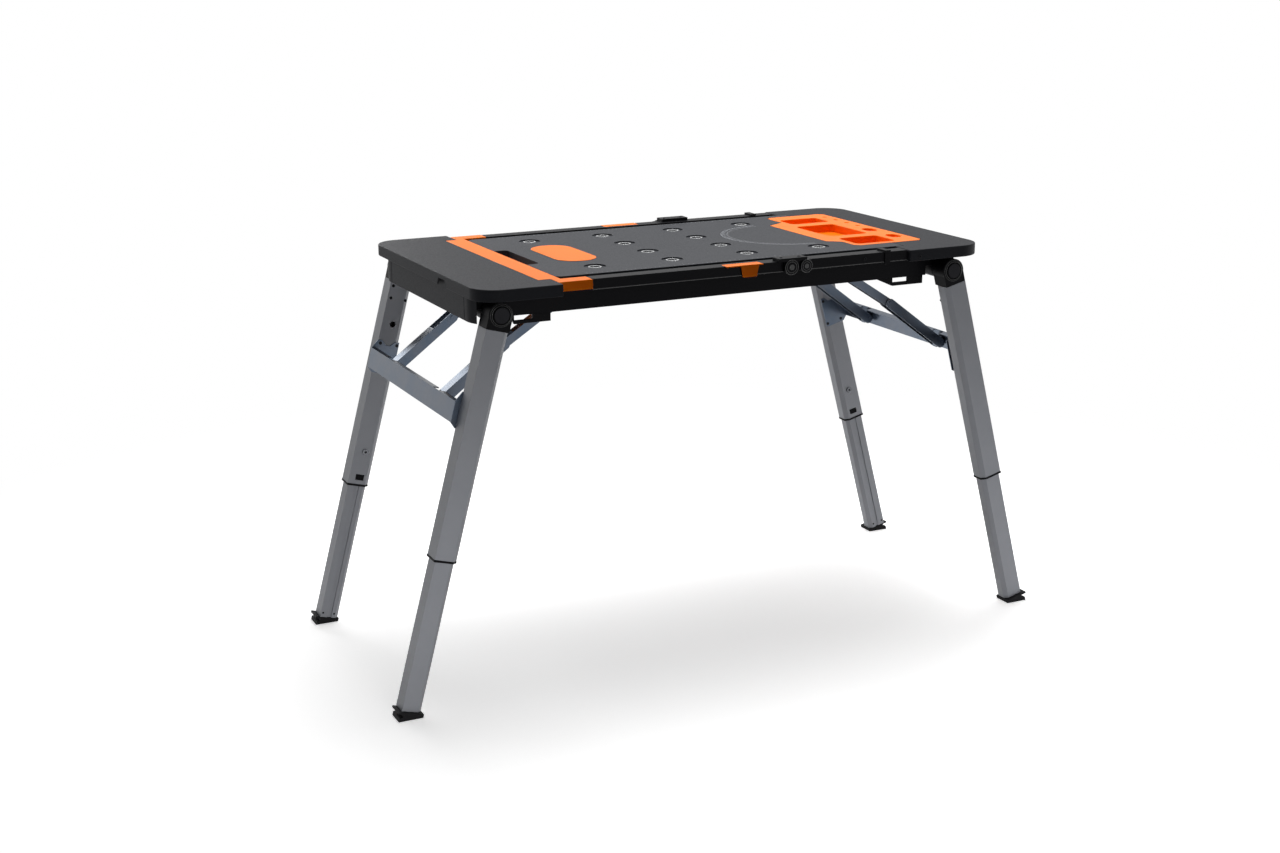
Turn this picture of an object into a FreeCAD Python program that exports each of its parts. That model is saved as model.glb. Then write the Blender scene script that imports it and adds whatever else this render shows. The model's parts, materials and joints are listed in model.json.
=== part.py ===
import FreeCAD
import Part
import Sketcher
import math
import os
import re

# A portable folding workbench. Its flat top is a lift-out board between two rails, with an end cap
# at each end. Two pairs of splayed telescoping legs fold up under the top, each held open by two
# jointed braces.
#
# Millimetres, +Z up. The origin is on the floor under the middle of the four feet, X runs along the
# bench and Y across it. "Left" is -X, "near" is -Y. Heights on the legs are measured down the leg
# from its pivot.

SIZES = {
    # Overall
    "bench_height": 790.0,
    "running_gap": 0.3,
    "pivot_clearance": 0.1,
    "cut_overrun": 5.0,
    # Deck board
    "deck_thickness": 19.7,
    "deck_left": 356.0,
    "deck_right": 399.5,
    "deck_half_width": 233.0,
    "deck_corner": 12.0,
    "finger_notch_depth": 27.0,
    "finger_notch_near": 90.0,
    "finger_notch_far": 80.0,
    "finger_notch_corner": 10.0,
    "hole_pitch_x": 164.3,
    "hole_pitch_y": 107.7,
    "dog_bore_radius": 10.0,
    "bushing_radius": 13.0,
    "dish_radius": 21.5,
    "dish_depth": 2.5,
    "bushing_stand": 1.2,
    "pad_centre_y": 3.0,
    "pad_offset_x": 3.4,
    "pad_width": 85.0,
    "pad_length": 195.0,
    "pad_seat_depth": 1.2,
    "pad_thickness": 1.8,
    # Tool tray
    "tray_tongue": 78.5,
    "tray_reach": 107.5,
    "tray_near": 190.0,
    "tray_far": 209.0,
    "tray_far_step": 43.0,
    "tray_near_step": 26.0,
    "tray_step_far": 138.0,
    "tray_step_far_inner": 114.0,
    "tray_step_near": 136.0,
    "tray_step_near_inner": 116.0,
    "tray_corner": 10.0,
    "tray_rim": 3.0,
    "tray_ledge": 5.0,
    "tray_depth": 19.5,
    "tray_floor": 2.5,
    "tray_clearance": 0.6,
    "far_pocket_inset": 8.5,
    "middle_pocket_inset": 39.0,
    "near_pocket_inset": 13.0,
    "pocket_width": 92.0,
    "far_pocket_near": 104.0,
    "far_pocket_far": 165.0,
    "middle_pocket_near": 68.0,
    "middle_pocket_far": 72.0,
    "near_pocket_near": 174.0,
    "near_pocket_far": 98.0,
    "pocket_corner": 10.0,
    "bit_hole_inset": 18.0,
    "bit_hole_first": 29.0,
    "bit_hole_pitch": 44.7,
    "bit_hole_radius": 5.0,
    "slot_hole_inset": 26.0,
    "slot_hole_near": 120.0,
    "slot_hole_far": 30.0,
    "slot_hole_width": 26.0,
    "slot_hole_length": 38.0,
    "slot_hole_depth": 10.0,
    # Rails
    "groove_beside_deck": 19.0,
    "rail_width": 30.0,
    "rail_depth": 20.0,
    "rail_flange": 3.0,
    "rail_flange_setback": 2.0,
    "rail_flange_overlap": 4.0,
    "rail_wall": 2.5,
    "rail_top_wall": 4.0,
    "rail_end_gap": 3.0,
    # Hinge links between the rail sections
    "link_centre": 125.5,
    "link_half_gap": 31.5,
    "link_disc_large_x": 109.0,
    "link_disc_large_radius": 15.0,
    "link_disc_small_x": 142.0,
    "link_disc_small_radius": 13.0,
    "link_disc_drop": 11.5,
    "link_proud": 3.0,
    "link_disc_proud": 5.0,
    "link_plate_left": 81.0,
    "link_plate_right": 143.0,
    "link_plate_rise": 6.5,
    "link_plate_setback": 11.0,
    # Fasteners on the top
    "small_screw_radius": 3.2,
    "small_screw_head": 1.4,
    "plate_screw_setback": 11.0,
    "disc_pin_radius": 4.5,
    "rail_screw_setback": 98.0,
    "rail_screw_drop": 10.0,
    "cap_screw_setback": 23.0,
    "cap_screw_drop": 14.0,
    # Rail clips
    "clip_setback": 40.0,
    "clip_width": 13.0,
    "clip_thickness": 2.6,
    "clip_depth": 24.0,
    "clip_rise": 3.6,
    # Latches
    "latch_left": 30.0,
    "latch_right": 49.0,
    "latch_plate": 2.2,
    "latch_setback": 10.0,
    "latch_proud": 3.4,
    "latch_tongue_left": 0.5,
    "latch_tongue_right": 40.0,
    "latch_tongue_taper": 5.0,
    "latch_tongue_drop": 23.5,
    "latch_tongue_thickness": 3.0,
    # End caps
    "cap_wall": 3.5,
    "cap_joint_gap": 0.5,
    "left_cap_overhang": 8.0,
    "left_cap_side": 24.0,
    "left_cap_corner": 50.0,
    "notch_near": 137.0,
    "notch_far": 88.0,
    "notch_slope": 9.0,
    "notch_height": 13.5,
    "right_cap_arm": 20.0,
    "right_cap_reach": 75.0,
    "right_cap_side": 8.0,
    "right_cap_step_gap": 1.5,
    "right_cap_corner": 55.0,
    # Orange edge band
    "band_width": 41.1,
    "band_shoulder_width": 17.1,
    "band_arm": 50.0,
    "band_depth": 18.0,
    "band_proud": 3.0,
    "band_shoulder_inset": 6.3,
    # Apron and corner posts at the left end
    "apron_stand": 32.5,
    "apron_thickness": 8.5,
    "apron_lap": 4.0,
    "apron_depth": 47.0,
    "post_seam": 1.0,
    "post_bend_start": 21.0,
    "post_bend": 50.0,
    "post_overlap": 3.0,
    # Lower beams and cross members
    "beam_setback": 11.5,
    "beam_width": 37.5,
    "beam_depth": 40.0,
    "beam_shoulder": 35.0,
    "beam_slot_rise": 4.0,
    "beam_slot_height": 10.0,
    "beam_slot_inset": 4.0,
    "beam_hollow_height": 33.0,
    "beam_end_wall": 12.0,
    "neck_depth": 22.0,
    "boss_radius": 21.0,
    "cross_depth": 15.0,
    "cross_half_width": 10.5,
    "brace_lug_half": 6.5,
    "brace_lug_reach": 8.0,
    # Brackets under the beams
    "bracket_depth": 16.0,
    "bracket_width": 7.0,
    "left_bracket_gap": 2.0,
    "right_bracket_gap": 7.0,
    "bracket_end": 6.0,
    "bracket_window": 37.0,
    "bracket_window_depth": 9.5,
    "bracket_block": 35.0,
    "bracket_wedge": 36.0,
    # Leg pivots
    "pivot_reach": 487.0,
    "pivot_drop": 50.0,
    "leg_tilt": 15.0,
    "leg_side_gap": 6.5,
    "bolt_radius": 6.0,
    "bolt_head_radius": 14.5,
    "bolt_head": 3.0,
    "washer_radius": 11.0,
    # Upper tubes
    "upper_depth": 40.0,
    "upper_half": 23.0,
    "upper_wall": 2.0,
    "upper_chamfer": 8.5,
    "upper_start": 29.0,
    "upper_end": 460.0,
    "tube_hole_radius": 6.0,
    "tube_hole_at": 118.0,
    "lock_setback": 70.0,
    "tube_slot_setback": 15.0,
    "tube_slot_width": 18.0,
    "tube_slot_height": 12.0,
    # Leg heads
    "head_radius": 24.0,
    "head_plug": 25.0,
    "head_ring_radius": 19.5,
    "head_ring_width": 2.5,
    "head_ring_height": 1.5,
    # End collars
    "collar_lip": 4.0,
    "collar_sleeve": 9.0,
    "collar_overhang": 0.8,
    # Lower tubes
    "lower_half": 20.0,
    "lower_half_depth": 16.7,
    "lower_wall": 2.0,
    "lower_chamfer": 7.3,
    "tube_overlap": 116.0,
    "lower_slide_gap": 0.5,
    "groove_width": 8.0,
    "groove_depth": 2.6,
    # Height-lock plungers
    "plunger_radius": 6.5,
    "plunger_head": 3.3,
    "plunger_stem": 3.0,
    # Feet
    "foot_height": 13.1,
    "foot_flange_inner": 22.2,
    "foot_flange_outer": 28.0,
    "foot_flange": 4.0,
    "foot_neck": 17.0,
    "foot_sole": 24.1,
    "foot_sole_thickness": 8.0,
    "foot_setback": 5.0,
    "foot_overhang": 4.0,
    # Crossbars
    "crossbar_top": 172.0,
    "crossbar_height": 40.0,
    "crossbar_web_out": 34.5,
    "crossbar_sheet": 2.0,
    "crossbar_flange": 14.0,
    "crossbar_notch_half": 16.5,
    "end_plate_inner": 22.0,
    "end_plate_outer": 24.0,
    "end_plate_rise": 19.0,
    "end_plate_fall": 10.0,
    "end_plate_ear": 9.0,
    "end_plate_cut": 3.0,
    "plate_rivet_across": 18.0,
    "plate_rivet_setback": 7.0,
    "rivet_radius": 3.6,
    "rivet_head": 1.4,
    # Braces
    "brace_lane": 140.0,
    "brace_upper_x": 292.5,
    "brace_upper_rise": 1.0,
    "brace_lower_drop": 22.6,
    "brace_lower_out": 22.0,
    "knee_offset": 6.0,
    "brace_pin_radius": 3.7,
    "brace_sheet": 2.0,
    "lower_link_half_width": 13.0,
    "lower_link_half_height": 10.0,
    "upper_link_half_width": 10.0,
    "upper_link_half_height": 8.5,
    "link_web_setback": 16.0,
    "upper_knee_setback": 26.0,
    "lower_knee_setback": 45.0,
    "knee_rivet_radius": 5.5,
    "knee_rivet_head": 1.8,
}

# Places that follow from the sizes above, outwards from the deck and down from the top
PLACES = {
    "rail_inner": "deck_half_width + groove_beside_deck",
    "rail_outer": "rail_inner + rail_width",
    "beam_outer": "rail_inner - beam_setback",
    "beam_inner": "beam_outer - beam_width",
    "rail_flange_inner": "beam_inner + rail_flange_setback",
    "leg_inner": "beam_outer + leg_side_gap",
    "leg_outer": "leg_inner + upper_depth",
    "leg_middle": "leg_inner + upper_depth / 2",
    "link_face": "rail_outer + link_proud",
    "link_plate_inner": "rail_inner + link_plate_setback",
    "band_face": "rail_outer + band_proud",
    "band_shoulder_y": "rail_inner - band_shoulder_inset",
    "left_cap_half_width": "rail_outer + left_cap_side",
    "left_cap_step": "band_shoulder_y + running_gap",
    "right_cap_half_width": "rail_outer + right_cap_side",
    "right_cap_step": "deck_half_width + right_cap_step_gap",
    "latch_inner": "rail_inner + latch_setback",
    "latch_outer": "rail_outer + latch_proud",
    "apron_half_width": "beam_inner + apron_lap",
    "post_start": "apron_half_width + post_seam",
    "post_end": "leg_inner + post_overlap",
    "bracket_outer": "beam_outer - running_gap",
    "bracket_inner": "bracket_outer - bracket_width",
    "foot_inner": "leg_inner + foot_setback",
    "foot_outer": "leg_outer + foot_overhang",
    "lower_face": "leg_middle - lower_half_depth",
    "beam_top": "bench_height - rail_depth - rail_flange",
    "beam_bottom": "beam_top - beam_depth",
    "neck_bottom": "beam_top - neck_depth",
    "cap_bottom": "beam_top + running_gap",
    "cap_ceiling": "bench_height - cap_wall",
    "apron_bottom": "beam_top - apron_depth",
    "pivot_height": "bench_height - pivot_drop",
    "brace_upper_z": "pivot_height + brace_upper_rise",
    "band_inner_edge": "deck_left + running_gap",
    "band_left": "band_inner_edge + band_width",
    "band_shoulder": "band_inner_edge + band_shoulder_width",
    "band_arm_right": "band_inner_edge - band_arm",
    "left_cap_middle": "band_left + running_gap",
    "left_cap_right": "band_shoulder + running_gap",
    "apron_inner": "pivot_reach + apron_stand",
    "apron_outer": "apron_inner + apron_thickness",
    "left_cap_left": "apron_outer + left_cap_overhang",
    "beam_full_reach": "pivot_reach - beam_shoulder",
    "left_window_left": "-beam_full_reach + left_bracket_gap + bracket_end",
    "right_window_left": "beam_full_reach - right_bracket_gap - bracket_block - bracket_window",
    "right_cap_middle": "deck_right + cap_joint_gap",
    "right_cap_left": "right_cap_middle - right_cap_arm",
    "right_cap_right": "pivot_reach + right_cap_reach",
    "rail_right": "right_cap_left - rail_end_gap",
    "rail_screw_x": "rail_right - rail_screw_setback",
    "cap_screw_x": "right_cap_left + cap_screw_setback",
    "clip_right": "rail_right - clip_setback",
    "clip_left": "clip_right - clip_width",
    "cross_inner": "brace_upper_x - cross_half_width",
    "cross_outer": "brace_upper_x + cross_half_width",
    "pad_centre_x": "1.5 * hole_pitch_x - pad_offset_x",
    "tray_right": "deck_right + tray_tongue",
    "tray_left_middle": "deck_right - tray_reach",
    "tray_left_far": "tray_left_middle + tray_far_step",
    "tray_left_near": "tray_left_middle + tray_near_step",
    "far_step_length": "sqrt(tray_far_step ^ 2 + (tray_step_far - tray_step_far_inner) ^ 2)",
    "far_step_share": "(far_step_length - tray_step_far + tray_step_far_inner) / tray_far_step",
    "near_step_length": "sqrt(tray_near_step ^ 2 + (tray_step_near - tray_step_near_inner) ^ 2)",
    "near_step_share": "(near_step_length - tray_step_near + tray_step_near_inner) / tray_near_step",
    "far_pocket_left": "tray_left_far + far_pocket_inset",
    "middle_pocket_left": "tray_left_middle + middle_pocket_inset",
    "near_pocket_left": "tray_left_near + near_pocket_inset",
    "bit_hole_x": "tray_right - bit_hole_inset",
    "slot_hole_x": "tray_right - slot_hole_inset",
    "lock_at": "upper_end - lock_setback",
    "tube_slot_at": "upper_end - tube_slot_setback",
    "lower_start": "upper_end - tube_overlap",
    "lower_end": "pivot_height / cos(leg_tilt) - foot_height",
    "crossbar_bottom": "crossbar_top + crossbar_height",
    "end_plate_top": "crossbar_top - end_plate_rise",
    "end_plate_bottom": "crossbar_bottom + end_plate_fall",
    "brace_lower_at": "crossbar_top + brace_lower_drop",
}
KNEE_SHARE = 0.5
SIDES = {"near": -1, "far": 1}
ENDS = {"left": -1, "right": 1}
AXES = {"X": (1, 0, 0), "Y": (0, 1, 0), "Z": (0, 0, 1)}
NODES = []

doc = FreeCAD.newDocument("workbench")


# The sheet of sizes and the formulas that read it

def fill_sheet():
    """Write every driving size into the sheet, one row each, named by its alias."""
    sheet = doc.addObject("Spreadsheet::Sheet", "sizes")
    for row, (name, value) in enumerate(SIZES.items(), start=1):
        sheet.set("A%d" % row, name)
        sheet.set("B%d" % row, str(value))
        sheet.setAlias("B%d" % row, name)
    doc.recompute()
    return sheet


def formula(text):
    """Point each size name in a formula at its cell, and write out each place that it names."""
    def cell(word):
        name = word.group()
        if name in SIZES:
            return "sizes." + name
        return "(%s)" % formula(PLACES[name]) if name in PLACES else name
    return re.sub(r"[a-z]\w*", cell, text)


def number(text):
    """Work out the present value of a formula."""
    return float(sizes_sheet.evalExpression(formula(text)))


def signed(sign, text):
    """Mirror a formula when the sign is negative."""
    return "(%s)" % text if sign > 0 else "-(%s)" % text


def span(side, inner, outer):
    """Give the low and high end of a stretch that lies on the near or far side."""
    return (inner, outer) if side > 0 else (signed(-1, outer), signed(-1, inner))


def mirrored(sign, points):
    """Mirror the first coordinate of every point when the sign is negative."""
    return [(signed(sign, u), v) for u, v in points]


def on_side(side, points):
    """Mirror the second coordinate of every point when the side is near."""
    return [(u, signed(side, v)) for u, v in points]


sizes_sheet = fill_sheet()


# Sketched bodies

def new_body(name):
    """Start a sub-part made of sketched features."""
    body = doc.addObject("PartDesign::Body", name)
    body.Label = name
    NODES.append(body)
    return body


def new_sketch(body, plane, offset):
    """Attach a sketch to one of the body's own origin planes, moved along that plane's normal."""
    support = next(item for item in body.Origin.OriginFeatures if item.Role == plane + "_Plane")
    sketch = body.newObject("Sketcher::SketchObject", body.Name + "_sketch")
    sketch.AttachmentSupport = [(support, "")]
    sketch.MapMode = "FlatFace"
    sketch.setExpression("AttachmentOffset.Base.z", formula(offset))
    return sketch


def hold_point(sketch, geometry, point, across, up):
    """Fix one point of a sketch at two formulas, measured from the sketch's origin."""
    for kind, axis, text in (("DistanceX", -2, across), ("DistanceY", -1, up)):
        if abs(number(text)) < 1e-9:
            sketch.addConstraint(Sketcher.Constraint("PointOnObject", geometry, point, axis))
            continue
        place = Sketcher.Constraint(kind, -1, 1, geometry, point, number(text))
        index = sketch.addConstraint(place)
        sketch.setExpression("Constraints[%d]" % index, formula(text))


def add_loop(sketch, points):
    """Add a closed loop of straight lines through points given as pairs of formulas."""
    places = [FreeCAD.Vector(number(across), number(up), 0) for across, up in points]
    first = sketch.GeometryCount
    count = len(points)
    for index, place in enumerate(places):
        sketch.addGeometry(Part.LineSegment(place, places[(index + 1) % count]), False)
    for index in range(count):
        following = first + (index + 1) % count
        sketch.addConstraint(Sketcher.Constraint("Coincident", first + index, 2, following, 1))
    for index, (across, up) in enumerate(points):
        hold_point(sketch, first + index, 1, across, up)


def add_circle(sketch, across, up, radius):
    """Add a circle whose centre and radius are formulas."""
    centre = FreeCAD.Vector(number(across), number(up), 0)
    circle = Part.Circle(centre, FreeCAD.Vector(0, 0, 1), number(radius))
    geometry = sketch.addGeometry(circle, False)
    hold_point(sketch, geometry, 3, across, up)
    index = sketch.addConstraint(Sketcher.Constraint("Radius", geometry, number(radius)))
    sketch.setExpression("Constraints[%d]" % index, formula(radius))


def extrude(body, plane, low, high, loops=(), circles=(), cut=False):
    """Pad or cut straight-sided loops and circles between two places along the plane's axis.

    The XZ plane looks towards -Y, so its sketch starts from the other end of the stretch.
    """
    starts_high = cut != (plane == "XZ")
    start = high if starts_high else low
    sketch = new_sketch(body, plane, signed(-1 if plane == "XZ" else 1, start))
    for points in loops:
        add_loop(sketch, points)
    for across, up, radius in circles:
        add_circle(sketch, across, up, radius)
    feature = body.newObject("PartDesign::Pocket" if cut else "PartDesign::Pad", body.Name + "_step")
    feature.Profile = sketch
    feature.setExpression("Length", formula("(%s) - (%s)" % (high, low)))
    sketch.Visibility = False
    return feature


def rectangle(left, right, low, high):
    """Give the four corners of an upright rectangle."""
    return [(left, low), (right, low), (right, high), (left, high)]


def round_corners(body, axis, places, radius):
    """Round the edges that run along an axis through the given places."""
    doc.recompute()
    direction = FreeCAD.Vector(*AXES[axis])
    others = [index for index in range(3) if AXES[axis][index] == 0]
    wanted = [(number(first), number(second)) for first, second in places]
    names = []
    for index, edge in enumerate(body.Shape.Edges, start=1):
        if not isinstance(edge.Curve, (Part.Line, Part.LineSegment)):
            continue
        along = edge.Vertexes[-1].Point - edge.Vertexes[0].Point
        if along.cross(direction).Length > 1e-6 * along.Length:
            continue
        middle = edge.CenterOfMass
        if any(math.hypot(middle[others[0]] - first, middle[others[1]] - second) < 0.01
               for first, second in wanted):
            names.append("Edge%d" % index)
    base = body.Tip
    fillet = body.newObject("PartDesign::Fillet", body.Name + "_rounding")
    fillet.Base = (base, names)
    fillet.setExpression("Radius", formula(radius))
    return fillet


# Plain solids

def bind(item, places):
    """Bind properties of an object to formulas."""
    for name, text in places.items():
        item.setExpression(name, formula(text))


def disc(name, axis, across, start, length, radius):
    """Make a cylinder along Y or Z.

    Across is a pair of formulas, for X and Z (along Y) or for X and Y (along Z).
    """
    item = doc.addObject("Part::Cylinder", name)
    if axis == "Y":
        turn = FreeCAD.Rotation(FreeCAD.Vector(1, 0, 0), -90)
        item.Placement = FreeCAD.Placement(FreeCAD.Vector(), turn)
        places = (across[0], start, across[1])
    else:
        places = (across[0], across[1], start)
    bind(item, {"Radius": radius, "Height": length, "Placement.Base.x": places[0],
                "Placement.Base.y": places[1], "Placement.Base.z": places[2]})
    return item


def group(name, items):
    """Keep separate solids together as one sub-part."""
    item = doc.addObject("Part::Compound", name)
    item.Links = items
    item.Label = name
    NODES.append(item)
    return item


# The deck board, its bushings and its pad

DECK_TOP = "bench_height"
DECK_BOTTOM = "bench_height - deck_thickness"


def hole_places():
    """List the twelve dog holes: four columns, of which the outer two miss the middle rows."""
    places = []
    for column in (-1.5, -0.5, 0.5, 1.5):
        for row in (-1.5, -0.5, 0.5, 1.5):
            if abs(column) < 1 or abs(row) > 1:
                places.append(("%s * hole_pitch_x" % column, "%s * hole_pitch_y" % row))
    return places


def tray_outline(grow):
    """Give the tray's stepped outline, grown outwards by a formula."""
    left_far = "tray_left_far - (%s)" % grow
    left_middle = "tray_left_middle - (%s)" % grow
    left_near = "tray_left_near - (%s)" % grow
    right = "tray_right + (%s)" % grow
    near = "-(tray_near + (%s))" % grow
    far = "tray_far + (%s)" % grow
    return [(left_near + " + tray_corner", near),
            (right + " - tray_corner", near),
            (right, near + " + tray_corner"),
            (right, far + " - tray_corner"),
            (right + " - tray_corner", far),
            (left_far + " + tray_corner", far),
            (left_far, far + " - tray_corner"),
            (left_far, "tray_step_far + far_step_share * (%s)" % grow),
            (left_middle, "tray_step_far_inner + far_step_share * (%s)" % grow),
            (left_middle, "-tray_step_near_inner - near_step_share * (%s)" % grow),
            (left_near, "-tray_step_near - near_step_share * (%s)" % grow),
            (left_near, near + " + tray_corner")]


def cut_tray_seat(body, bottom):
    """Cut the stepped seat and the opening for the tray."""
    seat = "bench_height - tray_rim"
    above = "bench_height + cut_overrun"
    extrude(body, "XY", seat, above, [tray_outline("tray_clearance")], cut=True)
    extrude(body, "XY", bottom, above, [tray_outline("-tray_ledge")], cut=True)


def make_deck_board():
    """Make the lift-out board with its holes, dishes, finger notch and seats."""
    body = new_body("deck_board")
    extrude(body, "XY", DECK_BOTTOM, DECK_TOP,
            [rectangle("-deck_left", "deck_right", "-deck_half_width", "deck_half_width")])
    round_corners(body, "Z", [("-deck_left", "-deck_half_width"), ("-deck_left", "deck_half_width")],
                  "deck_corner")
    below = DECK_BOTTOM + " - cut_overrun"
    above = DECK_TOP + " + cut_overrun"
    notch_right = "-deck_left + finger_notch_depth"
    extrude(body, "XY", below, above,
            [rectangle("-deck_left - cut_overrun", notch_right, "-finger_notch_near",
                       "finger_notch_far")], cut=True)
    round_corners(body, "Z", [(notch_right, "-finger_notch_near"), (notch_right, "finger_notch_far")],
                  "finger_notch_corner")
    cut_tray_seat(body, below)
    extrude(body, "XY", below, above,
            circles=[(across, up, "bushing_radius") for across, up in hole_places()], cut=True)
    extrude(body, "XY", DECK_TOP + " - dish_depth", above,
            circles=[(across, up, "dish_radius") for across, up in hole_places()], cut=True)
    pad_left = "-pad_centre_x - pad_width / 2"
    pad_right = "-pad_centre_x + pad_width / 2"
    pad_near = "-pad_centre_y - pad_length / 2"
    pad_far = "-pad_centre_y + pad_length / 2"
    extrude(body, "XY", DECK_TOP + " - pad_seat_depth", above,
            [rectangle(pad_left, pad_right, pad_near, pad_far)], cut=True)
    corners = [(pad_left, pad_near), (pad_right, pad_near), (pad_right, pad_far), (pad_left, pad_far)]
    round_corners(body, "Z", corners, "pad_width / 2 - running_gap")


def make_bushings():
    """Make the twelve metal sleeves that line the dog holes."""
    sleeves = []
    for index, (across, up) in enumerate(hole_places()):
        height = "deck_thickness - bushing_stand"
        outer = disc("bushing_%d" % index, "Z", (across, up), DECK_BOTTOM, height, "bushing_radius")
        inner = disc("bushing_bore_%d" % index, "Z", (across, up), DECK_BOTTOM + " - cut_overrun",
                     "deck_thickness + 2 * cut_overrun", "dog_bore_radius")
        sleeve = doc.addObject("Part::Cut", "sleeve_%d" % index)
        sleeve.Base = outer
        sleeve.Tool = inner
        sleeves.append(sleeve)
    group("dog_hole_bushings", sleeves)


def make_oval_pad():
    """Make the smooth oval pad let into the board near its left end."""
    body = new_body("oval_pad")
    left = "-pad_centre_x - pad_width / 2 + running_gap"
    right = "-pad_centre_x + pad_width / 2 - running_gap"
    near = "-pad_centre_y - pad_length / 2 + running_gap"
    far = "-pad_centre_y + pad_length / 2 - running_gap"
    bottom = DECK_TOP + " - pad_seat_depth"
    extrude(body, "XY", bottom, bottom + " + pad_thickness", [rectangle(left, right, near, far)])
    corners = [(left, near), (right, near), (right, far), (left, far)]
    round_corners(body, "Z", corners, "pad_width / 2 - 2 * running_gap")


# The tool tray

def make_tool_tray():
    """Make the removable tray: a rim on a basin, with three pockets and small holders."""
    body = new_body("tool_tray")
    rim_bottom = "bench_height - tray_rim"
    tray_bottom = "bench_height - tray_depth"
    above = "bench_height + cut_overrun"
    extrude(body, "XY", rim_bottom, "bench_height", [tray_outline("0")])
    extrude(body, "XY", tray_bottom, rim_bottom, [tray_outline("-tray_ledge - tray_clearance")])
    floor = tray_bottom + " + tray_floor"
    pocket_ends = [("far_pocket_left", "far_pocket_near", "far_pocket_far"),
                   ("middle_pocket_left", "-middle_pocket_near", "middle_pocket_far"),
                   ("near_pocket_left", "-near_pocket_near", "-near_pocket_far")]
    pockets = [rectangle(left, left + " + pocket_width", near, far)
               for left, near, far in pocket_ends]
    extrude(body, "XY", floor, above, pockets, cut=True)
    corners = [point for points in pockets for point in points]
    round_corners(body, "Z", corners, "pocket_corner")
    holes = [("bit_hole_x", "bit_hole_first + %d * bit_hole_pitch" % index, "bit_hole_radius")
             for index in range(4)]
    extrude(body, "XY", floor, above, circles=holes, cut=True)
    slots = []
    for middle in ("-slot_hole_near", "-slot_hole_far"):
        slots.append(rectangle("slot_hole_x - slot_hole_width / 2", "slot_hole_x + slot_hole_width / 2",
                               middle + " - slot_hole_length / 2", middle + " + slot_hole_length / 2"))
    extrude(body, "XY", "bench_height - slot_hole_depth", above, slots, cut=True)
    round_corners(body, "Z", [point for points in slots for point in points],
                  "slot_hole_width / 2 - running_gap")


# Rails, hinge links, clips and latches

def make_rail(name, side, left, right, with_latch_seat):
    """Make one rail section: a hollow box with a flange that carries the board."""
    body = new_body(name)
    top = "bench_height"
    bottom = "bench_height - rail_depth"
    profile = [("rail_flange_inner", bottom + " - rail_flange"),
               ("rail_inner + rail_flange_overlap", bottom + " - rail_flange"),
               ("rail_inner + rail_flange_overlap", bottom),
               ("rail_outer", bottom),
               ("rail_outer", top),
               ("rail_inner", top),
               ("rail_inner", bottom),
               ("rail_flange_inner", bottom)]
    hollow = rectangle("rail_inner + rail_wall", "rail_outer - rail_wall", bottom + " + rail_wall",
                       top + " - rail_top_wall")
    extrude(body, "YZ", left, right, [mirrored(side, profile), mirrored(side, hollow)])
    if with_latch_seat:
        low, high = span(side, "latch_inner - running_gap", "rail_outer + cut_overrun")
        extrude(body, "XY", top + " - latch_plate - running_gap", top + " + cut_overrun",
                [rectangle("-latch_left - running_gap", "latch_right + running_gap", low, high)],
                cut=True)


def make_rails():
    """Make the four rail sections, two on each side of the hinge links."""
    gap_left = "link_centre - link_half_gap"
    gap_right = "link_centre + link_half_gap"
    for side_name, side in SIDES.items():
        make_rail(side_name + "_left_rail", side, "-band_arm_right + running_gap", gap_left, True)
        make_rail(side_name + "_right_rail", side, gap_right, "rail_right", False)


def link_mirror(side, text):
    """Mirror a place on the far hinge link about the links' centre."""
    return text if side < 0 else "2 * link_centre - (%s)" % text


def make_hinge_link(side_name, side):
    """Make the figure-of-eight link that joins two rail sections."""
    body = new_body(side_name + "_hinge_link")
    bottom = "bench_height - rail_depth"
    low, high = span(side, "rail_inner", "link_face")
    left = "link_centre - link_half_gap + running_gap"
    right = "link_centre + link_half_gap - running_gap"
    extrude(body, "XZ", low, high, [rectangle(left, right, bottom, "bench_height")])
    low, high = span(side, "link_face", "link_face + link_disc_proud")
    height = "bench_height - link_disc_drop"
    large = (link_mirror(side, "link_disc_large_x"), height, "link_disc_large_radius")
    small = (link_mirror(side, "link_disc_small_x"), height, "link_disc_small_radius")
    extrude(body, "XZ", low, high, circles=[large])
    extrude(body, "XZ", low, high, circles=[small])
    ends = sorted([link_mirror(side, "link_plate_left"), link_mirror(side, "link_plate_right")],
                  key=number)
    low, high = span(side, "link_plate_inner", "link_face + link_disc_proud")
    extrude(body, "XZ", low, high,
            [rectangle(ends[0], ends[1], "bench_height", "bench_height + link_plate_rise")])


def make_rail_clips():
    """Make the two small clips that hook over the rails near their right ends."""
    clips = []
    for side_name, side in SIDES.items():
        body = doc.addObject("PartDesign::Body", side_name + "_clip")
        low, high = span(side, "rail_outer", "rail_outer + clip_thickness")
        top = "bench_height + clip_rise"
        extrude(body, "XZ", low, high, [rectangle("clip_left", "clip_right", top + " - clip_depth - "
                                                  "clip_rise", top)])
        low, high = span(side, "rail_inner + rail_wall", "rail_outer")
        extrude(body, "XZ", low, high, [rectangle("clip_left", "clip_right", "bench_height", top)])
        clips.append(body)
    group("rail_clips", clips)


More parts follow.
